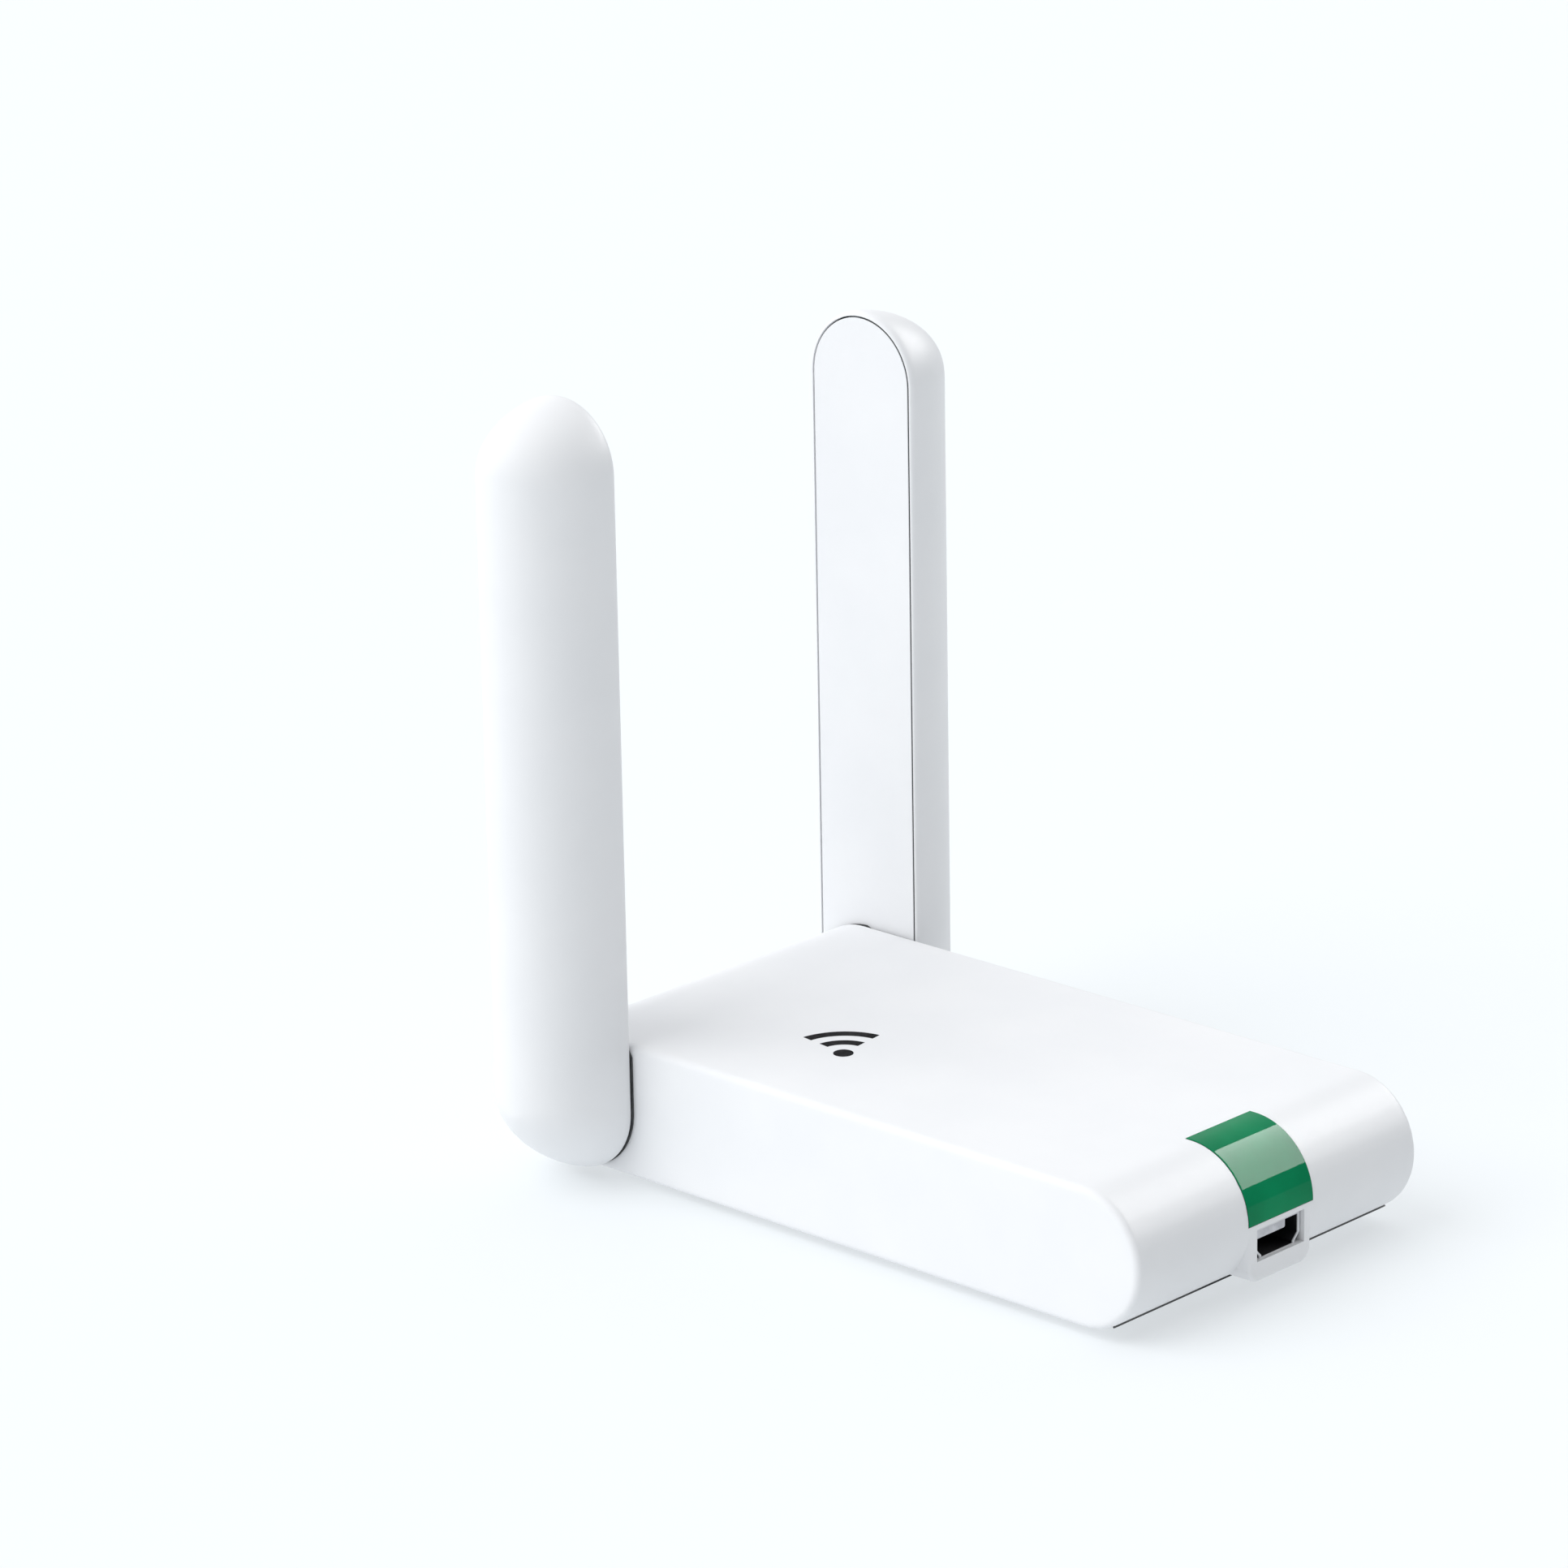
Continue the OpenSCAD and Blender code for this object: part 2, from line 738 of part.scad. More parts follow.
// Open ring pushed into the groove from below
module retaining_ring(side) color(STEEL)
    at_hinge(side)
        difference() {
            disc(ring_r, ring_x + thread_gap, ring_x + ring_t - thread_gap);
            disc(tube_r - ring_groove + thread_gap, ring_x - 1, ring_x + ring_t + 1);
            block([ring_x - 1, -tube_r + 0.8, -2 * ring_r], [ring_x + ring_t + 1, tube_r - 0.8, 0]);
        }

module left_retaining_ring() retaining_ring(-1);
module right_retaining_ring() retaining_ring(1);

top_cover();
bottom_cover();
status_window();
light_pipe();
rubber_feet();
case_screws();
rating_label();
circuit_board();
usb_shell();
usb_insulator();
usb_contacts();
wifi_chip();
shield_frame();
shield_lid();
clock_crystal();
memory_chip();
power_regulator();
power_inductor();
capacitors();
resistors();
status_led();
switch_case();
switch_plunger();
pairing_button();
aerial_sockets();
left_lead();
right_lead();
left_aerial_shell();
left_aerial_cover();
left_radiator();
left_radiator_lead();
left_hinge_tube();
left_friction_washer();
left_retaining_ring();
right_aerial_shell();
right_aerial_cover();
right_radiator();
right_radiator_lead();
right_hinge_tube();
right_friction_washer();
right_retaining_ring();
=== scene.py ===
"""Looks of a small white wireless adapter: a bar-shaped body, two fold-down aerials and a mini USB port."""

import math

import bmesh
import bpy
from mathutils import Matrix, Vector


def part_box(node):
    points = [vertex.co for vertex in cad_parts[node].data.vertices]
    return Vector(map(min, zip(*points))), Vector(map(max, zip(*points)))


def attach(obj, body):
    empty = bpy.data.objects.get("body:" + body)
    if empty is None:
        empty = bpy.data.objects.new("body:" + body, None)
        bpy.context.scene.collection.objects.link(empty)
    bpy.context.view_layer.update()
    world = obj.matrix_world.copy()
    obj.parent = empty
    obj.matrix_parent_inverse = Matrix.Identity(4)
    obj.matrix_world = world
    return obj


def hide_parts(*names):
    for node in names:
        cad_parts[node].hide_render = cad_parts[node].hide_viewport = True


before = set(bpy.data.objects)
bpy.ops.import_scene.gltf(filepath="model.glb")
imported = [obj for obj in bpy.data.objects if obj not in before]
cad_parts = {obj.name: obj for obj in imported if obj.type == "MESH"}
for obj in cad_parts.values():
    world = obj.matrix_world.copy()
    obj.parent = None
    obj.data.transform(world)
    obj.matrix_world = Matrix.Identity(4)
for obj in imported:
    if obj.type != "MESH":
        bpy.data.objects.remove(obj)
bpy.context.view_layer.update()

MM = 0.001
MERGE = 2e-6
CLOSE = 1e-6



def cad_size(node):
    """Lowest and highest corner of a CAD node, in millimetres."""
    return [[round(v / MM, 2) for v in corner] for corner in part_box(node)]


# Sizes that the pieces share, in millimetres

# Body: a bar with round ends, closed by a cover under it
BODY_LOW, BODY_HIGH = cad_size("top_cover")
END_R = (BODY_HIGH[2] - BODY_LOW[2]) / 2
MID_Z = (BODY_HIGH[2] + BODY_LOW[2]) / 2
HINGE_Y = BODY_HIGH[1] - END_R
SIDE_X = BODY_HIGH[0]
WALL_X = 22.0
INNER_R = 6.4
SIDE_ROUND = 0.8
SEAM_LOW, SEAM_HIGH = 2.0, 2.14
GROOVE = 0.5

# Window over the nose, and the light pipe under it
WINDOW_REAR = cad_size("status_window")[1][1]
WINDOW_X, WINDOW_LOW = cad_size("status_window")[1][0], cad_size("status_window")[0][2]
WINDOW_T, WINDOW_GAP, WINDOW_PROUD = 0.8, 0.08, 0.1
PIPE_X, PIPE_ANGLES = 1.7, (17.5, 43.5)

# Port opening, its surround, and what is in the port
PORT_CLEAR = 0.15
SLEEVE_LOW, SLEEVE_HIGH = cad_size("usb_shell")
PORT_X = round(SLEEVE_HIGH[0] + PORT_CLEAR, 2)
PORT_LOW, PORT_HIGH = round(SLEEVE_LOW[2] - PORT_CLEAR, 2), round(SLEEVE_HIGH[2] + PORT_CLEAR, 2)
BOSS_X, BOSS_LOW, BOSS_CORNER, BOSS_ROUND = 5.2, 2.19, 1.6, 0.5
BOSS_RIM_SHARE = 0.75
TONGUE_X, TONGUE_Y, TONGUE_Z, TONGUE_CORNER = 2.45, (-43.6, -37.6), (6.35, 7.5), 0.24
BACK_X, BACK_Y, BACK_Z, BACK_CORNER = 3.45, (-37.7, -35.9), (4.7, 7.8), 0.3
CONTACTS, CONTACT_STEP, CONTACT_X, CONTACT_T = 5, 0.8, 0.2, 0.12
CONTACT_FRONT, CONTACT_REAR = -43.3, -37.7

# Opening for the pairing button
BUTTON_STRAIGHT, BUTTON_R = 1.5, 1.7

# Aerials, upright beside the body
AERIAL_LOW, AERIAL_HIGH = cad_size("right_aerial_shell")
AERIAL_X = AERIAL_LOW[0]
AERIAL_T = round(AERIAL_HIGH[0] - AERIAL_LOW[0], 2)
AERIAL_LEN = AERIAL_HIGH[2] - AERIAL_LOW[2] - 2 * END_R
AERIAL_LAND, AERIAL_RIM_ROUND, AERIAL_RIM_DEEP = 1.4, 0.5, 1.2
AERIAL_LOW_END, AERIAL_TOP_END = (9.0, 1.5), (7.0, 1.8)
COVER_T, COVER_R, RABBET_R, SHELL_WALL = 1.2, 7.25, 7.45, 1.2
COVER_MIDDLE, COVER_LIFT = 0.7, 0.03
TUBE_HOLE_R, TUBE_GAP = 3.45, 0.05

# Dark beads in the seams and dark pads in the hinge gaps: painted shade, standing in for the shadow down in those
# gaps
SHADE_BEAD_X, SHADE_BEAD_OUT, SHADE_BEAD_IN = 22.95, 0.2, 0.4
AERIAL_SHADE_BEAD_GAP, AERIAL_SHADE_BEAD_TOP, AERIAL_SHADE_BEAD_LOW, AERIAL_SHADE_BEAD_SINK = 0.02, 0.05, 1.1, 0.8
WINDOW_SHADE_BEAD_GAP, WINDOW_SHADE_BEAD_R, WINDOW_SHADE_BEAD_FOOT = 0.01, 7.25, (-0.08, -0.5)
SHADE_PAD_X, SHADE_PAD_R, SHADE_PAD_TOP, SHADE_PAD_CORNER = (23.63, 23.88), 7.85, 7.6, 1.2

# Feet, label and the printed sign
FEET_LOW, FEET_HIGH = cad_size("rubber_feet")
FOOT_R, FOOT_EDGE = 4.0, 0.35
FOOT_X, FOOT_H = FEET_HIGH[0] - FOOT_R, FEET_HIGH[2]
FOOT_FRONT, FOOT_REAR = FEET_LOW[1] + FOOT_R, FEET_HIGH[1] - FOOT_R
LABEL_LOW, LABEL_HIGH = cad_size("rating_label")
LABEL_CORNER = 1.2
MARK_AT, MARK_TURN, MARK_Z = (-10.0, 9.6), 45.0, (16.98, 17.02)
MARK_DOT, MARK_ARCS, MARK_SPAN = 1.15, ((2.75, 4.1), (5.6, 6.95)), 38.0


# Materials


def new_node(tree, kind, **inputs):
    """A node with its inputs set by name."""
    node = tree.nodes.new(kind)
    for name, value in inputs.items():
        node.inputs[name.replace("_", " ")].default_value = value
    return node


def noise(tree, place, scale, detail=3.0, roughness=0.5):
    """Noise over a place, from 0 to 1."""
    node = new_node(tree, "ShaderNodeTexNoise", Scale=scale, Detail=detail, Roughness=roughness)
    tree.links.new(place, node.inputs["Vector"])
    return node.outputs["Fac"]


def spread(tree, value, low, high):
    """A noise value stretched to run from low to high."""
    node = tree.nodes.new("ShaderNodeMapRange")
    node.inputs["From Min"].default_value = 0.3
    node.inputs["From Max"].default_value = 0.7
    node.inputs["To Min"].default_value = low
    node.inputs["To Max"].default_value = high
    tree.links.new(value, node.inputs["Value"])
    return node.outputs["Result"]


def two_tone(tree, value, dark, light, low=0.35, high=0.65):
    """A colour that runs from dark to light with a value."""
    node = tree.nodes.new("ShaderNodeValToRGB")
    node.color_ramp.elements[0].position = low
    node.color_ramp.elements[1].position = high
    node.color_ramp.elements[0].color = (*dark, 1)
    node.color_ramp.elements[1].color = (*light, 1)
    tree.links.new(value, node.inputs["Fac"])
    return node.outputs["Color"]


def finish(name, dark, light, rough, cloud=80.0, grain=2500.0, bump=0.004, depth=0.00002, **shader):
    """A moulded or coated surface: slow clouds of tone, a fine grain in its gloss, and a low grain in its relief."""
    material = bpy.data.materials.new(name)
    material.use_nodes = True
    tree = material.node_tree
    surface = tree.nodes["Principled BSDF"]
    place = tree.nodes.new("ShaderNodeTexCoord").outputs["Object"]
    tone = two_tone(tree, noise(tree, place, cloud), dark, light)
    tree.links.new(tone, surface.inputs["Base Color"])
    fine = noise(tree, place, grain, detail=4.0)
    tree.links.new(spread(tree, fine, *rough), surface.inputs["Roughness"])
    relief = new_node(tree, "ShaderNodeBump", Strength=bump, Distance=depth)
    tree.links.new(fine, relief.inputs["Height"])
    tree.links.new(relief.outputs["Normal"], surface.inputs["Normal"])
    for socket, value in shader.items():
        surface.inputs[socket.replace("_", " ")].default_value = value
    return material


def paint_shade_past(material, start, end, colour):
    """Turns a finish into another colour past a place along Y, as a shader mix over Object coordinates; used to
    paint shade into the inside of a hollow.
    """
    tree = material.node_tree
    base = tree.nodes["Principled BSDF"].inputs["Base Color"]
    split = tree.nodes.new("ShaderNodeSeparateXYZ")
    tree.links.new(tree.nodes.new("ShaderNodeTexCoord").outputs["Object"], split.inputs["Vector"])
    depth = tree.nodes.new("ShaderNodeMapRange")
    depth.inputs["From Min"].default_value = start * MM
    depth.inputs["From Max"].default_value = end * MM
    tree.links.new(split.outputs["Y"], depth.inputs["Value"])
    blend = tree.nodes.new("ShaderNodeMix")
    blend.data_type = "RGBA"
    first, second = (socket for socket in blend.inputs if socket.name in "AB" and socket.type == "RGBA")
    tree.links.new(base.links[0].from_socket, first)
    second.default_value = (*colour, 1)
    tree.links.new(depth.outputs["Result"], blend.inputs["Factor"])
    tree.links.new(next(o for o in blend.outputs if o.type == "RGBA"), base)


WHITE_PLASTIC = finish("satin_white_plastic", (0.82, 0.828, 0.845), (0.84, 0.846, 0.86), (0.42, 0.5),
                       bump=0.1, Specular_IOR_Level=0.15)
GREEN_PLASTIC = finish("clear_green_plastic", (0.0, 0.20, 0.078), (0.001, 0.24, 0.095), (0.02, 0.05),
                       cloud=150.0, bump=0.02, Specular_IOR_Level=0.07)
PRINT_BLACK = finish("black_print", (0.004, 0.004, 0.005), (0.012, 0.012, 0.014), (0.6, 0.8), cloud=900.0,
                     Specular_IOR_Level=0.05)
RUBBER = finish("grey_rubber", (0.32, 0.33, 0.34), (0.42, 0.43, 0.44), (0.75, 0.9), cloud=600.0, bump=0.5)
STEEL = finish("bright_steel", (0.45, 0.45, 0.46), (0.58, 0.58, 0.6), (0.22, 0.36), cloud=700.0, bump=0.1,
               Metallic=1.0)
# Near black for the beads and pads in the seams and gaps: painted shade, standing in for the shadow down in those
# gaps.
PAINTED_SHADE = finish("painted_gap_shade", (0.02, 0.022, 0.024), (0.045, 0.048, 0.05), (0.5, 0.7), cloud=700.0, bump=0.2)
PORT_METAL = finish("port_metal", (0.66, 0.67, 0.69), (0.76, 0.77, 0.79), (0.35, 0.5), cloud=700.0, bump=0.1,
                    Specular_IOR_Level=0.2)
# Painted shade: the port sleeve turns near black a little way inside its mouth, where the inside of the port lies in
# shadow.
paint_shade_past(PORT_METAL, SLEEVE_LOW[1] + 0.08, SLEEVE_LOW[1] + 0.2, (0.004, 0.004, 0.005))
BLACK_PLASTIC = finish("black_plastic", (0.008, 0.008, 0.009), (0.02, 0.02, 0.022), (0.4, 0.6), cloud=500.0,
                       bump=0.3)
TONGUE_PLASTIC = finish("pale_tongue_plastic", (0.62, 0.63, 0.67), (0.78, 0.79, 0.83), (0.25, 0.4), cloud=900.0)
GOLD = finish("gold_plate", (0.65, 0.42, 0.14), (0.83, 0.58, 0.24), (0.2, 0.34), cloud=900.0, Metallic=1.0)
BOARD = finish("green_solder_mask", (0.003, 0.07, 0.035), (0.01, 0.15, 0.07), (0.25, 0.4), cloud=450.0,
               bump=0.3)
CLEAR_PIPE = finish("frosted_light_pipe", (0.75, 0.8, 0.77), (0.85, 0.9, 0.87), (0.2, 0.35), cloud=400.0,
                    Transmission_Weight=0.6)
LABEL = finish("label_film", (0.62, 0.63, 0.65), (0.7, 0.71, 0.73), (0.3, 0.45), cloud=300.0, bump=0.2)
FERRITE = finish("ferrite", (0.02, 0.02, 0.022), (0.05, 0.05, 0.052), (0.6, 0.8), cloud=900.0, bump=0.5)
CERAMIC = finish("ceramic", (0.45, 0.36, 0.24), (0.6, 0.5, 0.36), (0.45, 0.6), cloud=900.0, bump=0.3)
LED_RESIN = finish("led_resin", (0.7, 0.8, 0.62), (0.8, 0.9, 0.72), (0.15, 0.3), cloud=900.0,
                   Transmission_Weight=0.4)
BRONZE = finish("spring_bronze", (0.42, 0.26, 0.1), (0.55, 0.36, 0.16), (0.3, 0.45), cloud=800.0, Metallic=1.0)
JACKET = finish("lead_jacket", (0.02, 0.02, 0.022), (0.05, 0.05, 0.055), (0.4, 0.6), cloud=600.0, bump=0.4)


# Mesh helpers


def clean_mesh(name, points, faces):
    """A mesh from points in millimetres, with doubles merged and faces turned outwards."""
    shape = bmesh.new()
    corners = [shape.verts.new(Vector(p) * MM) for p in points]
    for face in faces:
        shape.faces.new([corners[i] for i in face])
    bmesh.ops.remove_doubles(shape, verts=shape.verts, dist=MERGE)
    bmesh.ops.dissolve_degenerate(shape, edges=shape.edges, dist=MERGE / 4)
    loose = [v for v in shape.verts if not v.link_faces]
    bmesh.ops.delete(shape, geom=loose, context="VERTS")
    bmesh.ops.recalc_face_normals(shape, faces=shape.faces)
    mesh = bpy.data.meshes.new(name)
    shape.to_mesh(mesh)
    shape.free()
    return mesh


def add_piece(name, mesh, material, body, replaced=(), round_edges=0.0, limit=50.0, segments=2):
    """Shows a mesh as a piece that rides on a body, with its sharp edges rounded a little."""
    piece = bpy.data.objects.new(name, mesh)
    bpy.context.scene.collection.objects.link(piece)
    mesh.materials.clear()
    mesh.materials.append(material)
    mesh.shade_smooth()
    if round_edges:
        rounding = piece.modifiers.new("rounded edges", "BEVEL")
        rounding.limit_method = "ANGLE"
        rounding.angle_limit = math.radians(limit)
        rounding.width = round_edges * MM
        rounding.segments = segments
        rounding.use_clamp_overlap = True
        rounding.harden_normals = True
    else:
        mesh.set_sharp_from_angle(angle=math.radians(limit))
    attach(piece, body)
    if replaced:
        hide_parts(*replaced)
    return piece


# Top cover: one grid that wraps the body, with the openings and recesses as cells of the grid

SOLID, WINDOW, SEAM, HOLE = "solid", "window", "seam", "hole"


def arc_angle(z, r=END_R):
    """Angle round an end of the body at which an arc is at a level."""
    return math.degrees(math.asin(max(-1.0, min(1.0, (z - MID_Z) / r))))


def nose_row(angle):
    return {"y": -HINGE_Y, "angle": angle, "end": -1}


def rear_row(angle):
    return {"y": HINGE_Y, "angle": angle, "end": 1}


def flat_row(y, top):
    return {"y": y, "angle": 90.0 if top else -90.0, "end": 0}


SEAM_ANGLES = (arc_angle(SEAM_LOW), arc_angle(SEAM_HIGH))

# Stations of the grid: shares of the foot, rim and face of the port surround, then levels and angles on the nose
BOSS_STEPS = [0.0, 0.5, 1.0]
EDGE_STEPS = [0.0, 0.06, 0.15, 0.3, 0.55, 1.0]
FACE_STEPS = [0.35, 0.7, 1.0]
PORT_ROW_ZS = [4.6, 5.2, 5.9, 6.6, 7.3, 7.85, PORT_HIGH, 8.65, WINDOW_LOW - WINDOW_GAP]
NOSE_ANGLES = sorted([4, 9, 20, 25, 30, *range(40, 91, 5), *PIPE_ANGLES])
UNDER_ANGLES = [66, 72, 78, 84, 90]
HINGE_YS = [HINGE_Y - TUBE_HOLE_R * math.cos(math.radians(a)) for a in range(0, 90, 10)]
FLAT_YS = [-36.55, WINDOW_REAR + WINDOW_GAP, -35.4, -33, -28, -20, -10, 0, 10, 20, 28, 32] + HINGE_YS
BUTTON_ZS = [2.6, 2.1, 1.7, 1.3, 0.85, 0.4, 0.0, -0.4, -0.85, -1.3, -1.7, -2.1, -2.6]


def build_rows():
    """Stations round the side view of the body, starting above the seam on the nose and going over the top."""
    rows = []
    for part, steps in (("foot", BOSS_STEPS), ("edge", EDGE_STEPS), ("face", FACE_STEPS)):
        rows += [{**nose_row(None), "part": part, "step": s} for s in steps]
    rows += [nose_row(arc_angle(z)) for z in PORT_ROW_ZS]
    rows += [nose_row(a) for a in NOSE_ANGLES]
    rows += [flat_row(y, True) for y in FLAT_YS]
    button = [arc_angle(MID_Z + z) for z in BUTTON_ZS]
    rows += [rear_row(a) for a in range(90, 20, -5)] + [rear_row(a) for a in button]
    rows += [rear_row(a) for a in range(-25, -59, -5)]
    rows += [rear_row(SEAM_ANGLES[1]), rear_row(SEAM_ANGLES[0])]
    rows += [rear_row(-a) for a in UNDER_ANGLES]
    rows += [flat_row(y, False) for y in reversed(FLAT_YS)]
    rows += [nose_row(-a) for a in reversed(UNDER_ANGLES)]
    rows.append(nose_row(SEAM_ANGLES[0]))
    return rows


def bore_reach(row):
    """How far from the spine of the side face the hinge bore starts on this row."""
    if row["end"] == 1:
        return TUBE_HOLE_R
    if row["end"] == 0 and HINGE_Y - row["y"] < TUBE_HOLE_R:
        return math.sqrt(max(0.0, TUBE_HOLE_R**2 - (HINGE_Y - row["y"]) ** 2))
    return 0.0


HALF_XS = [0.0, 0.85, 1.5, 1.7, 2.35, 2.85, 3.2, 3.6, PORT_X, 4.4, 4.73, 4.99, 5.145, BOSS_X, 5.28,
           WINDOW_X + WINDOW_GAP, 5.7, 6.2, 7.5, 10, 14, 18, 20.5, 21.6, WALL_X, 22.4, SIDE_X - SIDE_ROUND]
CORNER_ANGLES = [15, 30, 45, 60, 75, 90]
SIDE_STEPS = [0.94, 0.84, 0.65, 0.4, 0.2, 0.0]


def build_columns():
    """Stations across the body: a place in X, how far the corner has come in, and the share left of the side."""
    half = [(x, 0.0, None) for x in HALF_XS]
    for angle in CORNER_ANGLES:
        a = math.radians(angle)
        x = SIDE_X - SIDE_ROUND * (1 - math.sin(a))
        half.append((x, SIDE_ROUND * (1 - math.cos(a)), None))
    half += [(SIDE_X, SIDE_ROUND, share) for share in SIDE_STEPS]
    left = [(-x, inset, share) for x, inset, share in reversed(half[1:])]
    return left + half


def boss_low(x):
    """Lower edge of the port surround at a place across it."""
    over = abs(x) - (BOSS_X - BOSS_CORNER)
    if over <= 0:
        return BOSS_LOW
    over = min(over, BOSS_CORNER)
    return BOSS_LOW + BOSS_CORNER - math.sqrt(BOSS_CORNER**2 - over**2)


def boss_face_y(x, z):
    """Front of the port surround, flat with a rounded rim."""
    across = abs(x) - (BOSS_X - BOSS_CORNER)
    down = BOSS_LOW + BOSS_CORNER - z
    outside = math.hypot(max(across, 0.0), max(down, 0.0)) + min(max(across, down), 0.0) - BOSS_CORNER
    depth = max(0.0, BOSS_ROUND + outside)
    drop = BOSS_ROUND - math.sqrt(max(0.0, BOSS_ROUND**2 - min(depth, BOSS_ROUND) ** 2))
    return -HINGE_Y - END_R + drop


def row_height(row, x):
    """Z of a row of the lower nose, which follows the lower edge of the port surround."""
    low = boss_low(x)
    rim = min(BOSS_ROUND, BOSS_RIM_SHARE * (PORT_LOW - low))
    if row["part"] == "foot":
        return SEAM_HIGH + (low - SEAM_HIGH) * row["step"]
    if row["part"] == "edge":
        return low + rim * row["step"]
    return low + rim + (PORT_LOW - low - rim) * row["step"]


def surface_point(row, column, depth=0.0):
    """A point of the outside, or depth below it."""
    x, inset, share = column
    side = math.copysign(1.0, x)
    reach = bore_reach(row)
    r = END_R - inset
    if share is not None:
        r = reach + (r - reach) * share
    if depth:
        r = min(r, END_R - depth)
        x = side * min(abs(x), SIDE_X - depth)
    angle = row["angle"]
    if angle is None:
        angle = arc_angle(row_height(row, x))
    a = math.radians(angle)
    out, up = math.cos(a), math.sin(a)
    if row["end"] == 1 and share is None and not depth:
        x, out, up = button_outline(x, out, up)
    y = row["y"] + row["end"] * r * out
    z = MID_Z + r * up
    on_boss = row["end"] == -1 and abs(x) <= BOSS_X and z <= MID_Z and share is None
    if on_boss and row.get("part") != "foot" and not depth and row["angle"] != SEAM_ANGLES[0]:
        if row["angle"] is None or row["angle"] > SEAM_ANGLES[1]:
            y = min(y, boss_face_y(x, z))
    return (x, y, z)


def button_outline(x, out, up):
    """Moves the points round the button opening onto its rounded outline."""
    rise = END_R * up
    edge_x, edge_z = BUTTON_STRAIGHT + BUTTON_R, BUTTON_R
    beside = abs(abs(x) - edge_x) < CLOSE and abs(rise) <= edge_z + CLOSE
    above = abs(abs(rise) - edge_z) < CLOSE and abs(x) <= edge_x + CLOSE
    if not beside and not above:
        return x, out, up
    spine = max(-BUTTON_STRAIGHT, min(BUTTON_STRAIGHT, x))
    length = math.hypot(x - spine, rise)
    x = spine + (x - spine) * BUTTON_R / length
    up = rise * BUTTON_R / length / END_R
    return x, math.sqrt(1 - up * up), up


def inner_height(z):
    """Level inside the nose for a level outside it: the port opening runs straight in."""
    lowest = MID_Z + INNER_R * math.sin(math.radians(SEAM_ANGLES[1]))
    if z >= PORT_LOW:
        return z
    return lowest + (PORT_LOW - lowest) * max(0.0, z - SEAM_HIGH) / (PORT_LOW - SEAM_HIGH)


def inner_point(row, column):
    """The point of the inside that belongs to a point of the outside."""
    x, inset, share = column
    reach = bore_reach(row)
    r = END_R - inset
    if share is not None:
        r = reach + (r - reach) * share
    x = max(-WALL_X, min(WALL_X, x))
    angle = row["angle"] if row["angle"] is not None else arc_angle(row_height(row, x))
    r = min(r, INNER_R)
    if row["end"] == -1 and SEAM_ANGLES[0] < angle < 0:
        angle = arc_angle(inner_height(MID_Z + END_R * math.sin(math.radians(angle))), INNER_R)
    a = math.radians(angle)
    out, up = math.cos(a), math.sin(a)
    if row["end"] == 1 and share is None:
        x, out, up = button_outline(x, out, up)
    return (x, row["y"] + row["end"] * r * out, MID_Z + r * up)


def cell_kind(row, after, left, right):
    """What a cell of the grid is, from the middle of its four corners."""
    x = (left[0] + right[0]) / 2
    if left[2] is not None or right[2] is not None:
        return SOLID
    if row["angle"] is None:
        return SOLID
    after_angle = after["angle"] if after["angle"] is not None else SEAM_ANGLES[1]
    middle = (row["angle"] + after_angle) / 2
    z = MID_Z + END_R * math.sin(math.radians(middle))
    end = row["end"] if row["end"] == after["end"] else (row["end"] or after["end"])
    y = (row["y"] + after["y"]) / 2
    if z < SEAM_HIGH:
        if abs(x) < WALL_X:
            return HOLE
        return SEAM if z > SEAM_LOW and abs(x) < SHADE_BEAD_X else SOLID
    if end == 1:
        in_button = abs(x) < BUTTON_STRAIGHT + BUTTON_R and abs(z - MID_Z) < BUTTON_R
        return HOLE if in_button else SOLID
    if abs(x) < PORT_X and PORT_LOW < z < PORT_HIGH and end == -1:
        return HOLE
    if abs(x) < WINDOW_X + WINDOW_GAP and z > WINDOW_LOW - WINDOW_GAP and y < WINDOW_REAR + WINDOW_GAP:
        in_pipe = abs(x) < PIPE_X and PIPE_ANGLES[0] < middle < PIPE_ANGLES[1] and end == -1
        return HOLE if in_pipe else WINDOW
    return SOLID


def top_cover_mesh():
    rows, columns = build_rows(), build_columns()
    n_rows, n_columns = len(rows), len(columns)
    depths = {SOLID: 0.0, WINDOW: WINDOW_T + WINDOW_GAP, SEAM: GROOVE}
    points, index = [], {}

    def at(level, i, j):
        i %= n_rows
        key = (level, i, j)
        if key not in index:
            index[key] = len(points)
            if level == HOLE:
                points.append(inner_point(rows[i], columns[j]))
            else:
                points.append(surface_point(rows[i], columns[j], depths[level]))
        return index[key]

    kinds = [[cell_kind(rows[i], rows[(i + 1) % n_rows], columns[j], columns[j + 1])
              for j in range(n_columns - 1)] for i in range(n_rows)]
    faces = []
    for i in range(n_rows):
        for j in range(n_columns - 1):
            kind = kinds[i][j]
            corners = [(i, j), (i + 1, j), (i + 1, j + 1), (i, j + 1)]
            if kind != HOLE:
                faces.append([at(kind, *c) for c in corners])
                faces.append([at(HOLE, *c) for c in reversed(corners)])
            next_row = kinds[(i + 1) % n_rows][j]
            next_column = kinds[i][j + 1] if j + 2 < n_columns else kind
            for beside, a, b in ((next_row, (i + 1, j), (i + 1, j + 1)), (next_column, (i, j + 1), (i + 1, j + 1))):
                if beside != kind:
                    faces.append([at(kind, *a), at(kind, *b), at(beside, *b), at(beside, *a)])
        for j in (0, n_columns - 1):
            if bore_reach(rows[i]) or bore_reach(rows[(i + 1) % n_rows]):
                faces.append([at(SOLID, i, j), at(SOLID, i + 1, j), at(HOLE, i + 1, j), at(HOLE, i, j)])
    return clean_mesh("top_cover_shell", points, faces)


# Aerials: one loop from the ridge over the dome, round the rim and back inside the hollow


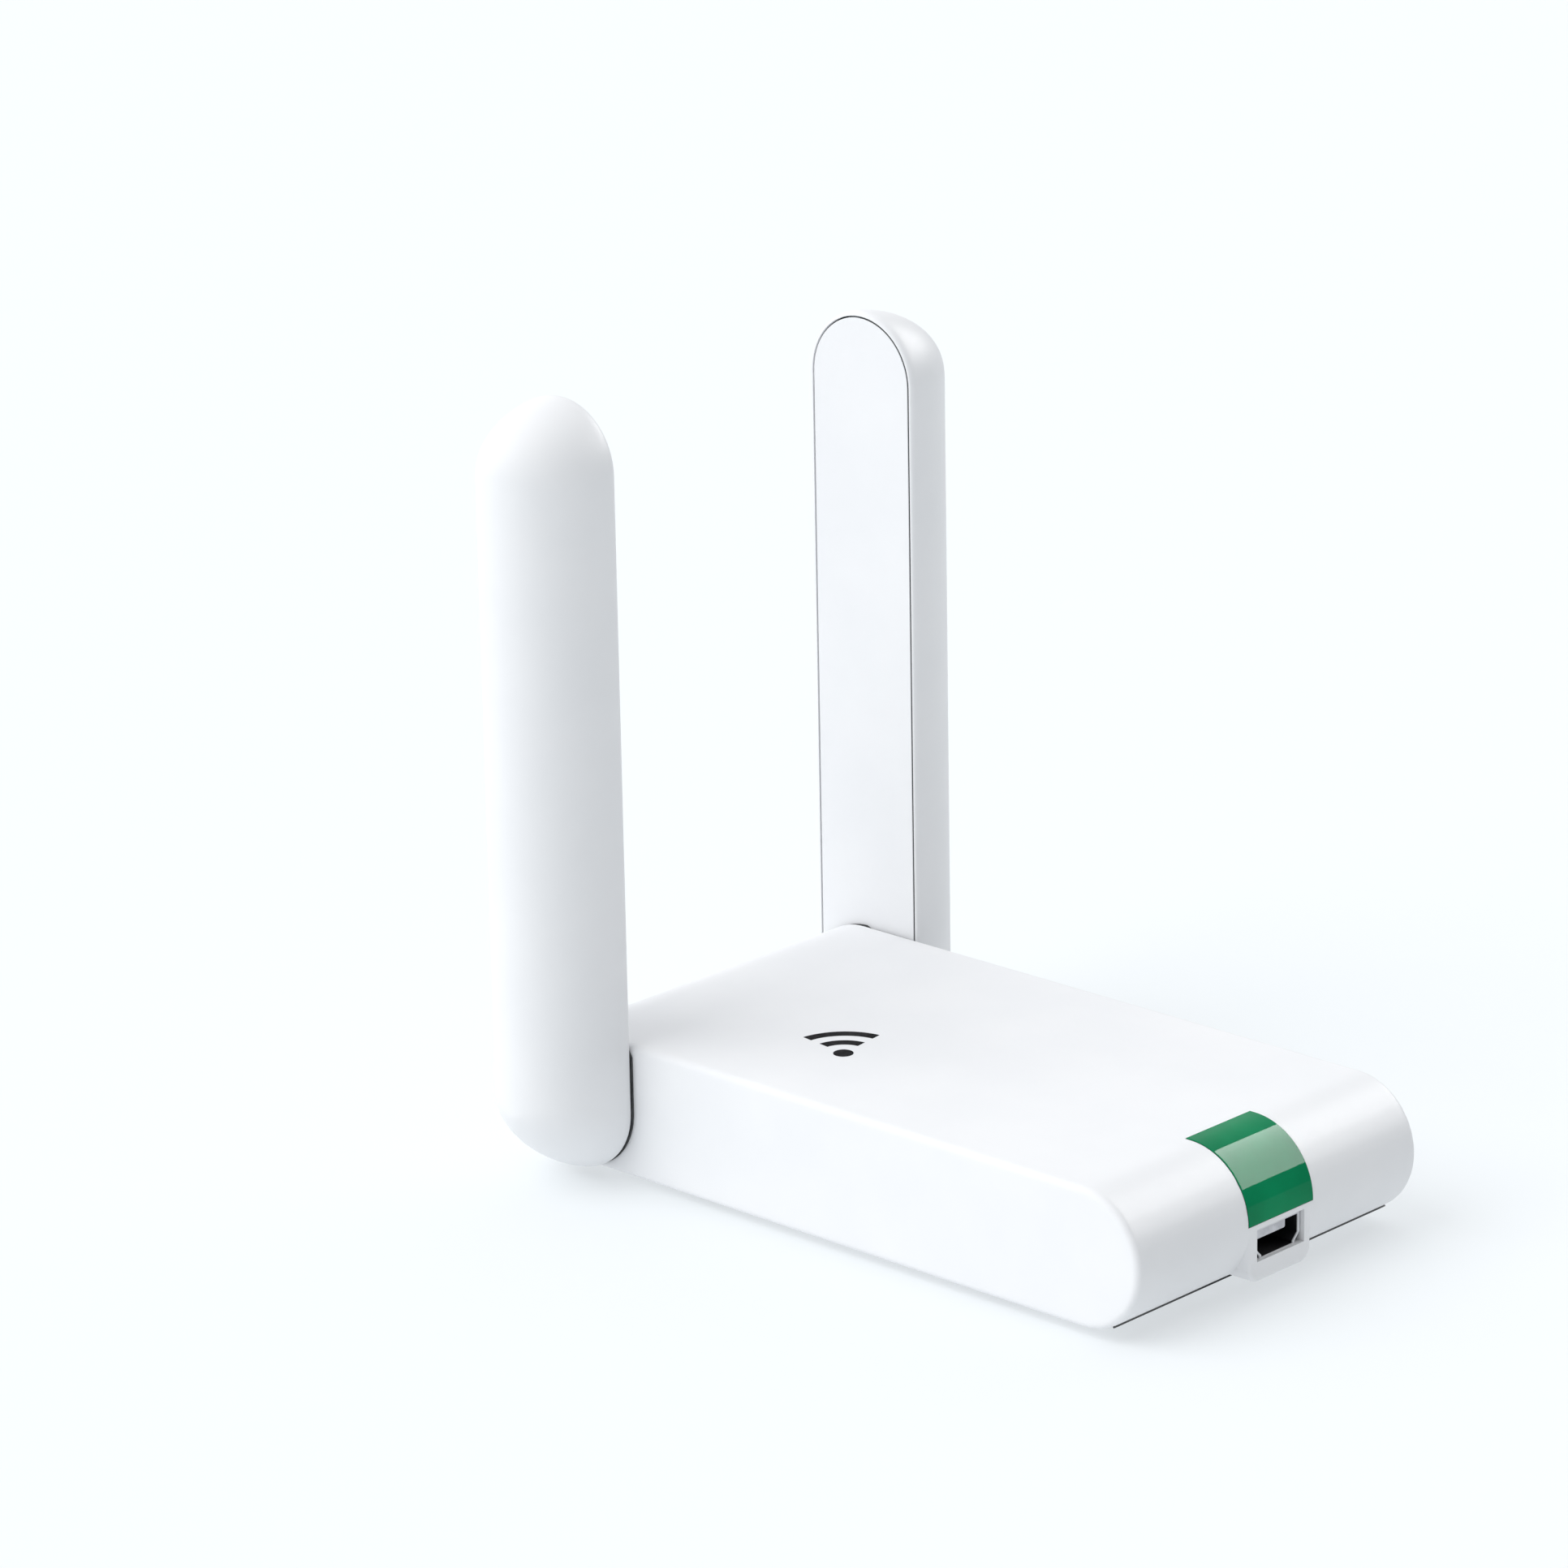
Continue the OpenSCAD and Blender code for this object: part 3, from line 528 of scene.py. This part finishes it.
def outline_stations():
    """Stations round the upright outline of an aerial: the centre that each belongs to, and its direction."""
    steps = [i * 5 for i in range(37)]
    stations = [(AERIAL_LEN, math.cos(math.radians(a)), math.sin(math.radians(a))) for a in steps]
    lengths = [AERIAL_LEN - d for d in (2, 4, 8, 14, 24, 37, 50, 60, 66, 70, 72)]
    stations += [(z, -1.0, 0.0) for z in lengths]
    stations += [(0.0, -math.cos(math.radians(a)), -math.sin(math.radians(a))) for a in steps]
    stations += [(z, 1.0, 0.0) for z in reversed(lengths)]
    return stations


def outline_at(depth, full, r):
    """Half-width of an aerial's outline at a depth, and how far the centres of its two round ends have moved in."""
    rise = max(0.0, depth - AERIAL_LAND) / (full - AERIAL_LAND)
    half = r * math.sqrt(max(0.0, 1 - rise * rise))
    share = min(1.0, depth / full)
    shifts = []
    for reach, power in (AERIAL_LOW_END, AERIAL_TOP_END):
        tip = reach * (1 - (1 - share**power) ** (1 / power))
        shifts.append(tip - r + half)
    return half, shifts


def aerial_point(side, station, depth, half, shifts):
    """A point on the outline of an aerial at a depth."""
    centre, dy, dz = station
    along = centre / AERIAL_LEN
    middle = shifts[0] + (AERIAL_LEN - shifts[0] - shifts[1]) * along
    return (side * (AERIAL_X + depth), HINGE_Y + half * dy, MID_Z + middle + half * dz)


def aerial_shell_mesh(side):
    """Domed shell: from the ridge down to the rounded rim, into the seat of the flat cover, and back up inside."""
    levels = []
    for angle in (90, 87, 83, 78, 72, 66, 59, 52, 45, 38, 31, 24, 17, 11, 5, 0):
        depth = AERIAL_LAND + (AERIAL_T - AERIAL_LAND) * math.sin(math.radians(angle))
        levels.append((depth, *outline_at(depth, AERIAL_T, END_R)))
    for angle in (12, 25, 38, 51, 64, 77, 90):
        a = math.radians(angle)
        depth = AERIAL_RIM_DEEP * (1 - math.sin(a))
        half, shifts = outline_at(depth, AERIAL_T, END_R)
        drop = AERIAL_RIM_ROUND * (1 - math.cos(a))
        levels.append((depth, half - drop, shifts))
    seat = COVER_T + COVER_LIFT
    levels += [(0.0, RABBET_R, (0, 0)), (seat, RABBET_R, (0, 0)), (seat, END_R - SHELL_WALL, (0, 0))]
    full = AERIAL_T - SHELL_WALL
    for angle in (0, 15, 30, 45, 60, 75, 90):
        depth = AERIAL_LAND + (full - AERIAL_LAND) * math.sin(math.radians(angle))
        levels.append((depth, *outline_at(depth, full, END_R - SHELL_WALL)))
    points, faces = [], []
    stations = outline_stations()
    width = len(levels)
    for station in stations:
        points += [aerial_point(side, station, *level) for level in levels]
    for i in range(len(stations)):
        start, after = i * width, (i + 1) % len(stations) * width
        for j in range(width - 1):
            faces.append([start + j, start + j + 1, after + j + 1, after + j])
    return clean_mesh("aerial_shell", points, faces)


def aerial_cover_mesh(side):
    """Flat cover with a hole for the hinge tube."""
    points, faces = [], []
    stations = outline_stations()
    rings = []
    for centre, dy, dz in stations:
        reach = TUBE_HOLE_R - TUBE_GAP if centre == 0.0 else 0.0
        if 0 < centre < TUBE_HOLE_R:
            reach = math.sqrt(TUBE_HOLE_R**2 - centre**2)

        def at(r, depth):
            return (side * (AERIAL_X + depth), HINGE_Y + r * dy, MID_Z + centre + r * dz)

        rings.append(len(points))
        points += [at(reach, COVER_T), at(COVER_R * COVER_MIDDLE, COVER_T), at(COVER_R, COVER_T), at(COVER_R, 0.0),
                   at(COVER_R * COVER_MIDDLE, 0.0), at(reach, 0.0)]
    for i, start in enumerate(rings):
        after = rings[(i + 1) % len(rings)]
        for j in range(5):
            faces.append([start + j, start + j + 1, after + j + 1, after + j])
        if stations[i][0] == 0.0 or stations[(i + 1) % len(rings)][0] == 0.0:
            faces.append([start + 5, start, after, after + 5])
    return clean_mesh("aerial_cover", points, faces)


# Window


def window_mesh():
    steps = [(-HINGE_Y, arc_angle(WINDOW_LOW) + a) for a in range(0, 91, 3)] + [(WINDOW_REAR, 90.0)]
    rings, points, faces = [], [], []
    for y, angle in steps:
        a = math.radians(angle)
        rings.append(len(points))
        high, low = END_R + WINDOW_PROUD, END_R - WINDOW_T
        for r, x in ((high, -WINDOW_X), (high, WINDOW_X), (low, WINDOW_X), (low, -WINDOW_X)):
            points.append((x, y - r * math.cos(a), MID_Z + r * math.sin(a)))
    for start, after in zip(rings, rings[1:]):
        for j in range(4):
            faces.append([start + j, start + (j + 1) % 4, after + (j + 1) % 4, after + j])
    faces += [[0, 1, 2, 3], [rings[-1] + j for j in (3, 2, 1, 0)]]
    return clean_mesh("window", points, faces)


# Dark beads and pads of painted shade, port and the parts under the body


def loop_mesh(name, rings, closed):
    """A bar through rings of points, as one closed skin."""
    width = len(rings[0])
    points = [point for ring in rings for point in ring]
    spans = len(rings) if closed else len(rings) - 1
    faces = []
    for i in range(spans):
        start, after = i * width, (i + 1) % len(rings) * width
        faces += [[start + j, start + (j + 1) % width, after + (j + 1) % width, after + j] for j in range(width)]
    if not closed:
        faces += [list(range(width)), [len(points) - 1 - j for j in range(width)]]
    return clean_mesh(name, points, faces)


def body_shade_bead_mesh(end):
    """Dark bead that fills the seam across an end of the body and follows its rounded corners: painted shade for the
    shadow down in the seam.
    """
    across = [x for x in HALF_XS if x < SIDE_X - SIDE_ROUND] + [SIDE_X - SIDE_ROUND, SHADE_BEAD_X]
    rings = []
    for x in [-x for x in reversed(across[1:])] + across:
        over = max(0.0, abs(x) - (SIDE_X - SIDE_ROUND)) / SIDE_ROUND
        r = END_R - SIDE_ROUND * (1 - math.sqrt(1 - over * over))
        ring = []
        for angle, radius in ((0, r - SHADE_BEAD_IN), (0, r + SHADE_BEAD_OUT), (1, r + SHADE_BEAD_OUT), (1, r - SHADE_BEAD_IN)):
            a = math.radians(SEAM_ANGLES[angle])
            ring.append((x, end * (HINGE_Y + radius * math.cos(a)), MID_Z + radius * math.sin(a)))
        rings.append(ring)
    return loop_mesh("body_shade_bead", rings, False)


def aerial_shade_bead_mesh(side):
    """Dark bead in the gap between an aerial's shell and its flat cover, painted shade for the shadow in that gap;
    it is sunk deeper along the rear edge, so the painted shade is fainter there.
    """
    near, far = COVER_R + AERIAL_SHADE_BEAD_GAP, RABBET_R - AERIAL_SHADE_BEAD_GAP
    rings = []
    for centre, dy, dz in outline_stations():
        sink = AERIAL_SHADE_BEAD_SINK * max(0.0, min(1.0, 3 * dy))
        top = AERIAL_SHADE_BEAD_TOP + sink * (AERIAL_SHADE_BEAD_LOW - AERIAL_SHADE_BEAD_TOP)
        ring = []
        for r, depth in ((near, top), (far, top), (far, AERIAL_SHADE_BEAD_LOW), (near, AERIAL_SHADE_BEAD_LOW)):
            ring.append((side * (AERIAL_X + depth), HINGE_Y + r * dy, MID_Z + centre + r * dz))
        rings.append(ring)
    return loop_mesh("aerial_shade_bead", rings, True)


def window_shade_bead_mesh():
    """Dark bead in the gap along the sides and the foot of the window: painted shade for the shadow in that gap."""
    near, far = WINDOW_X + WINDOW_SHADE_BEAD_GAP, WINDOW_X + WINDOW_GAP - WINDOW_SHADE_BEAD_GAP
    side = [(WINDOW_REAR + HINGE_Y, 90.0, 90.0)] + [(0.0, a, a) for a in range(90, 0, -3)]
    half = side + [(0.0, *WINDOW_SHADE_BEAD_FOOT)]
    rings = []
    for sign, stations in ((-1, half), (1, list(reversed(half)))):
        for back, near_angle, far_angle in stations:
            ring = []
            for x, angle, r in ((near, near_angle, WINDOW_SHADE_BEAD_R), (far, far_angle, WINDOW_SHADE_BEAD_R),
                                (far, far_angle, END_R), (near, near_angle, END_R)):
                a = math.radians(angle)
                ring.append((sign * x, back - HINGE_Y - r * math.cos(a), MID_Z + r * math.sin(a)))
            rings.append(ring)
    return loop_mesh("window_shade_bead", rings, False)


def hinge_shade_pad_mesh(side):
    """Thin dark pad on the aerial that fills its gap to the body, painted shade for the shadow in that gap: round,
    with one square upper corner.
    """
    rings = []
    for step in range(72):
        a = math.radians(step * 5)
        dy, dz = math.cos(a), math.sin(a)
        reach = SHADE_PAD_R
        if dz > 0 and dy < 0:
            reach = min(-SHADE_PAD_R / dy, SHADE_PAD_TOP / dz)
            cy, cz = SHADE_PAD_R - SHADE_PAD_CORNER, SHADE_PAD_TOP - SHADE_PAD_CORNER
            if -reach * dy > cy and reach * dz > cz:
                along = dz * cz - dy * cy
                reach = along + math.sqrt(max(0.0, along * along - cy * cy - cz * cz + SHADE_PAD_CORNER**2))
        ring = []
        for r, x in ((TUBE_HOLE_R + TUBE_GAP, 0), (reach, 0), (reach, 1), (TUBE_HOLE_R + TUBE_GAP, 1)):
            ring.append((side * SHADE_PAD_X[x], HINGE_Y + r * dy, MID_Z + r * dz))
        rings.append(ring)
    return loop_mesh("hinge_shade_pad", rings, True)


def rounded_outline(half_x, half_y, corner, steps=6):
    """Corner points of a rounded rectangle round the origin."""
    outline = []
    for turn, (sx, sy) in enumerate(((1, 1), (-1, 1), (-1, -1), (1, -1))):
        for i in range(steps + 1):
            a = math.radians(90 * turn + 90 * i / steps)
            x, y = sx * (half_x - corner), sy * (half_y - corner)
            outline.append((x + corner * math.cos(a), y + corner * math.sin(a)))
    return outline


def plate_mesh(name, outline, low, high, lay):
    """A plate between two levels, with each outline point placed by the function lay."""
    rings = [[lay(x, y, level) for x, y in outline] for level in (low, high)]
    return loop_mesh(name, rings, False)


def tongue_mesh():
    middle = (TONGUE_Z[0] + TONGUE_Z[1]) / 2
    outline = rounded_outline(TONGUE_X, (TONGUE_Z[1] - TONGUE_Z[0]) / 2, TONGUE_CORNER)
    return plate_mesh("tongue", outline, TONGUE_Y[0], TONGUE_Y[1], lambda x, z, y: (x, y, middle + z))


def port_back_mesh():
    middle = (BACK_Z[0] + BACK_Z[1]) / 2
    outline = rounded_outline(BACK_X, (BACK_Z[1] - BACK_Z[0]) / 2, BACK_CORNER)
    return plate_mesh("port_back", outline, BACK_Y[0], BACK_Y[1], lambda x, z, y: (x, y, middle + z))


def label_mesh():
    outline = rounded_outline(LABEL_HIGH[0], LABEL_HIGH[1], LABEL_CORNER)
    return plate_mesh("label", outline, LABEL_LOW[2], LABEL_HIGH[2], lambda x, y, z: (x, y, z))


def contact_mesh():
    """One spring contact: flat under the tongue, with a rolled front end."""
    low = TONGUE_Z[0] - CONTACT_T
    rings = []
    front = [(CONTACT_FRONT + back, rise) for back, rise in ((0.0, 0.1), (0.1, 0.03), (0.3, 0.0))]
    for y, rise in [*front, (CONTACT_REAR, 0.0)]:
        rings.append([(-CONTACT_X, y, low + rise), (CONTACT_X, y, low + rise), (CONTACT_X, y, low + CONTACT_T),
                      (-CONTACT_X, y, low + CONTACT_T)])
    return loop_mesh("contact", rings, False)


def foot_mesh():
    """One round foot with a rounded edge and a shallow dish under it."""
    profile = [(0.0, 0.12), (1.6, 0.1), (2.6, 0.03), (3.1, 0.0), (FOOT_R - FOOT_EDGE, 0.0)]
    for angle in (20, 40, 60, 80):
        a = math.radians(angle)
        profile.append((FOOT_R - FOOT_EDGE + FOOT_EDGE * math.sin(a), FOOT_EDGE * (1 - math.cos(a))))
    profile += [(FOOT_R, FOOT_EDGE), (FOOT_R, FOOT_H), (0.0, FOOT_H)]
    steps = 48
    points, faces = [], []
    for i in range(steps):
        a = 2 * math.pi * i / steps
        points += [(r * math.cos(a), r * math.sin(a), z) for r, z in profile]
    width = len(profile)
    for i in range(steps):
        start, after = i * width, (i + 1) % steps * width
        faces += [[start + j, start + j + 1, after + j + 1, after + j] for j in range(width - 1)]
    return clean_mesh("foot", points, faces)


def mark_mesh():
    """Printed sign for a wireless link: a dot with two arcs over it."""
    shape = bmesh.new()

    def lay(outline):
        turn = math.radians(MARK_TURN)
        corners = []
        for x, y in outline:
            along = (x * math.sin(turn) + y * math.cos(turn), -x * math.cos(turn) + y * math.sin(turn))
            corners.append((MARK_AT[0] + along[0], MARK_AT[1] + along[1]))
        low = [shape.verts.new((x * MM, y * MM, MARK_Z[0] * MM)) for x, y in corners]
        high = [shape.verts.new((x * MM, y * MM, MARK_Z[1] * MM)) for x, y in corners]
        shape.faces.new(high)
        shape.faces.new(list(reversed(low)))
        for i in range(len(corners)):
            j = (i + 1) % len(corners)
            shape.faces.new((low[i], low[j], high[j], high[i]))

    dot = [math.radians(a) for a in range(0, 360, 10)]
    lay([(MARK_DOT * math.cos(a), MARK_DOT * math.sin(a)) for a in dot])
    for inner, outer in MARK_ARCS:
        spans = [math.radians(90 - MARK_SPAN + i * MARK_SPAN / 10) for i in range(21)]
        outline = [(outer * math.cos(a), outer * math.sin(a)) for a in spans]
        outline += [(inner * math.cos(a), inner * math.sin(a)) for a in reversed(spans)]
        lay(outline)
    bmesh.ops.recalc_face_normals(shape, faces=shape.faces)
    mesh = bpy.data.meshes.new("mark")
    shape.to_mesh(mesh)
    shape.free()
    return mesh


def array_tree():
    """Geometry nodes that repeat a shape on a grid of places and give it a finish."""
    tree = bpy.data.node_groups.new("repeat on a grid", "GeometryNodeTree")
    face = tree.interface
    face.new_socket("Shape", in_out="INPUT", socket_type="NodeSocketGeometry")
    for name in ("Across", "Along"):
        face.new_socket(name + " count", in_out="INPUT", socket_type="NodeSocketInt")
        face.new_socket(name + " step", in_out="INPUT", socket_type="NodeSocketVector")
    face.new_socket("Corner", in_out="INPUT", socket_type="NodeSocketVector")
    face.new_socket("Finish", in_out="INPUT", socket_type="NodeSocketMaterial")
    face.new_socket("Result", in_out="OUTPUT", socket_type="NodeSocketGeometry")
    given, done = tree.nodes.new("NodeGroupInput"), tree.nodes.new("NodeGroupOutput")

    def line(name):
        row = tree.nodes.new("GeometryNodeMeshLine")
        row.mode = "OFFSET"
        tree.links.new(given.outputs[name + " count"], row.inputs["Count"])
        tree.links.new(given.outputs[name + " step"], row.inputs["Offset"])
        return row

    def repeat(places, shape):
        spread_out = tree.nodes.new("GeometryNodeInstanceOnPoints")
        tree.links.new(places, spread_out.inputs["Points"])
        tree.links.new(shape, spread_out.inputs["Instance"])
        plain = tree.nodes.new("GeometryNodeRealizeInstances")
        tree.links.new(spread_out.outputs["Instances"], plain.inputs["Geometry"])
        return plain.outputs["Geometry"]

    across, along = line("Across"), line("Along")
    tree.links.new(given.outputs["Corner"], across.inputs["Start Location"])
    places = repeat(across.outputs["Mesh"], along.outputs["Mesh"])
    coat = tree.nodes.new("GeometryNodeSetMaterial")
    tree.links.new(repeat(places, given.outputs["Shape"]), coat.inputs["Geometry"])
    tree.links.new(given.outputs["Finish"], coat.inputs["Material"])
    tree.links.new(coat.outputs["Geometry"], done.inputs["Result"])
    return tree


def repeated_mesh(name, mesh, material, across, along, corner):
    """A mesh repeated on a grid: across and along each give a count and a step in millimetres."""
    template = bpy.data.objects.new(name + "_template", mesh)
    bpy.context.scene.collection.objects.link(template)
    nodes = template.modifiers.new("repeat", "NODES")
    nodes.node_group = REPEAT
    values = {"Across count": across[0], "Across step": (across[1] * MM, 0, 0), "Along count": along[0],
              "Along step": (0, along[1] * MM, 0), "Corner": [v * MM for v in corner], "Finish": material}
    for item in REPEAT.interface.items_tree:
        if item.in_out == "INPUT" and item.name in values:
            nodes[item.identifier] = values[item.name]
    bpy.context.view_layer.update()
    seen = template.evaluated_get(bpy.context.evaluated_depsgraph_get())
    result = bpy.data.meshes.new_from_object(seen)
    result.name = name
    template.modifiers.remove(nodes)
    bpy.data.objects.remove(template)
    return result


def merged_copy(node):
    """A CAD node's shape as a clean mesh, with its flat faces whole."""
    shape = bmesh.new()
    shape.from_mesh(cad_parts[node].data)
    bmesh.ops.remove_doubles(shape, verts=shape.verts, dist=MERGE / 2)
    bmesh.ops.dissolve_limit(shape, angle_limit=math.radians(1), verts=shape.verts, edges=shape.edges)
    mesh = bpy.data.meshes.new(node)
    shape.to_mesh(mesh)
    shape.free()
    return mesh


add_piece("top_cover_moulding", top_cover_mesh(), WHITE_PLASTIC, "root", ["top_cover"], 0.12)
add_piece("bottom_cover_moulding", merged_copy("bottom_cover"), WHITE_PLASTIC, "root",
          ["bottom_cover"], 0.1, limit=40)
add_piece("green_window", window_mesh(), GREEN_PLASTIC, "root", ["status_window"], 0.08)
for name, side in (("left", -1), ("right", 1)):
    body = name + "_aerial"
    add_piece(name + "_aerial_dome", aerial_shell_mesh(side), WHITE_PLASTIC, body,
              [name + "_aerial_shell"], 0.05, limit=40)
    add_piece(name + "_aerial_plate", aerial_cover_mesh(side), WHITE_PLASTIC, body,
              [name + "_aerial_cover"], 0.1, limit=40)

    # Dark bead and pad on each aerial: painted shade in the seam of the aerial and in its gap to the body.
    add_piece(name + "_aerial_shade_bead", aerial_shade_bead_mesh(side), PAINTED_SHADE, body)
    add_piece(name + "_hinge_shade_pad", hinge_shade_pad_mesh(side), PAINTED_SHADE, body, round_edges=0.05)

# Dark beads in the window gap and in the end seams of the body: painted shade.
add_piece("window_shade_bead", window_shade_bead_mesh(), PAINTED_SHADE, "root")
add_piece("nose_shade_bead", body_shade_bead_mesh(-1), PAINTED_SHADE, "root")
add_piece("rear_shade_bead", body_shade_bead_mesh(1), PAINTED_SHADE, "root")
add_piece("port_sleeve", merged_copy("usb_shell"), PORT_METAL, "root", ["usb_shell"], 0.05, limit=40)
add_piece("port_tongue", tongue_mesh(), TONGUE_PLASTIC, "root", ["usb_insulator"], 0.08, limit=50)
add_piece("port_back", port_back_mesh(), BLACK_PLASTIC, "root")
add_piece("link_mark", mark_mesh(), PRINT_BLACK, "root")
add_piece("pairing_button_cap", merged_copy("pairing_button"), WHITE_PLASTIC, "button",
          ["pairing_button"], 0.12, limit=40)
add_piece("label_plate", label_mesh(), LABEL, "root", ["rating_label"], 0.03)

REPEAT = array_tree()
contacts = repeated_mesh("contacts", contact_mesh(), GOLD, (CONTACTS, CONTACT_STEP), (1, 0.0),
                         (-(CONTACTS // 2) * CONTACT_STEP, 0, 0))
add_piece("port_contacts", contacts, GOLD, "root", ["usb_contacts"], 0.02)
feet = repeated_mesh("feet", foot_mesh(), RUBBER, (2, 2 * FOOT_X), (2, FOOT_REAR - FOOT_FRONT),
                     (-FOOT_X, FOOT_FRONT, 0))
add_piece("soft_feet", feet, RUBBER, "root", ["rubber_feet"], limit=40)

# Finishes of the CAD nodes that still show, by the name of their slot
LOOKS = {
    "white_cover": WHITE_PLASTIC, "clear_pipe": CLEAR_PIPE, "screw_steel": STEEL, "board_green": BOARD,
    "port_steel": STEEL, "black_plastic": BLACK_PLASTIC, "gold_plate": GOLD, "ferrite": FERRITE,
    "ceramic": CERAMIC, "led_resin": LED_RESIN, "lead_jacket": JACKET, "hinge_steel": STEEL,
    "spring_bronze": BRONZE,
}


def dress_nodes():
    """Gives every CAD node that still shows the finish of its slot."""
    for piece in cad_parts.values():
        if piece.hide_render:
            continue
        look = LOOKS[piece.data.materials[0].name]
        piece.data.materials.clear()
        piece.data.materials.append(look)


dress_nodes()


# Floor, light and camera


def make_floor():
    shape = bmesh.new()
    bmesh.ops.create_circle(shape, cap_ends=True, radius=12.0, segments=64)
    bmesh.ops.translate(shape, verts=shape.verts, vec=(0, 0, -0.00002))
    mesh = bpy.data.meshes.new("floor")
    shape.to_mesh(mesh)
    shape.free()
    floor = bpy.data.objects.new("floor", mesh)
    bpy.context.scene.collection.objects.link(floor)
    mesh.materials.append(finish("pale_floor", (0.46, 0.485, 0.50), (0.47, 0.49, 0.505), (0.85, 0.95), cloud=0.6,
                                 grain=60.0, bump=0.0, Specular_IOR_Level=0.05,
                                 Emission_Color=(0.96, 0.985, 1.0, 1.0), Emission_Strength=0.45))


def add_softbox(name, place, aim, width, height, power, colour=(1, 1, 1), diffuse=True):
    """A soft panel of light at a place, in metres, that faces a point."""
    light = bpy.data.lights.new(name, "AREA")
    light.shape = "RECTANGLE"
    light.size, light.size_y = width, height
    light.energy = power
    light.color = colour
    panel = bpy.data.objects.new(name, light)
    panel.location = place
    panel.rotation_mode = "QUATERNION"
    panel.rotation_quaternion = (Vector(aim) - Vector(place)).to_track_quat("-Z", "Y")
    panel.visible_camera = False
    panel.visible_diffuse = diffuse
    bpy.context.scene.collection.objects.link(panel)
    return panel


def make_world(colour, front, around):
    """An even white studio whose front side is darker."""
    world = bpy.data.worlds.new("studio")
    world.use_nodes = True
    tree = world.node_tree
    background = tree.nodes["Background"]
    background.inputs["Color"].default_value = (*colour, 1)
    split = tree.nodes.new("ShaderNodeSeparateXYZ")
    tree.links.new(tree.nodes.new("ShaderNodeTexCoord").outputs["Generated"], split.inputs["Vector"])
    level = tree.nodes.new("ShaderNodeMapRange")
    level.interpolation_type = "SMOOTHSTEP"
    level.inputs["From Min"].default_value = -0.85
    level.inputs["From Max"].default_value = 0.05
    level.inputs["To Min"].default_value = front
    level.inputs["To Max"].default_value = around
    tree.links.new(split.outputs["Y"], level.inputs["Value"])
    tree.links.new(level.outputs["Result"], background.inputs["Strength"])
    bpy.context.scene.world = world


def add_sun(name, towards, strength, spread_angle):
    """A broad even light from a direction."""
    light = bpy.data.lights.new(name, "SUN")
    light.energy = strength
    light.angle = math.radians(spread_angle)
    sun = bpy.data.objects.new(name, light)
    sun.rotation_mode = "QUATERNION"
    sun.rotation_quaternion = Vector(towards).to_track_quat("Z", "Y")
    bpy.context.scene.collection.objects.link(sun)


def make_camera(place, azimuth, elevation, roll, lens):
    """A camera that looks back along an azimuth and elevation, in degrees."""
    a, e, turn = (math.radians(v) for v in (azimuth, elevation, roll))
    back = Vector((math.sin(a) * math.cos(e), -math.cos(a) * math.cos(e), math.sin(e)))
    right = (-back).cross(Vector((0, 0, 1))).normalized()
    up = right.cross(-back)
    across = right * math.cos(turn) + up * math.sin(turn)
    upward = up * math.cos(turn) - right * math.sin(turn)
    data = bpy.data.cameras.new("camera")
    data.lens, data.sensor_width = lens, 36.0
    data.clip_start, data.clip_end = 0.01, 50.0
    camera = bpy.data.objects.new("camera", data)
    turned = Matrix((across, upward, back)).transposed()
    camera.matrix_world = Matrix.Translation(Vector(place)) @ turned.to_4x4()
    bpy.context.scene.collection.objects.link(camera)
    bpy.context.scene.camera = camera


make_floor()
make_world((0.97, 0.985, 1.0), 0.36, 1.06)
add_sun("left sky", (-0.6, 0.35, 0.72), 1.2, 50)
add_softbox("right gloss panel", (0.8, -0.33, 0.592), (0, -0.04, 0.012), 0.94, 0.5, 30.0, diffuse=False)
make_camera((-0.515395, -0.462710, 0.273861), -46.436, 18.035, -1.044, 151.99)
bpy.context.scene.view_settings.view_transform = "Standard"
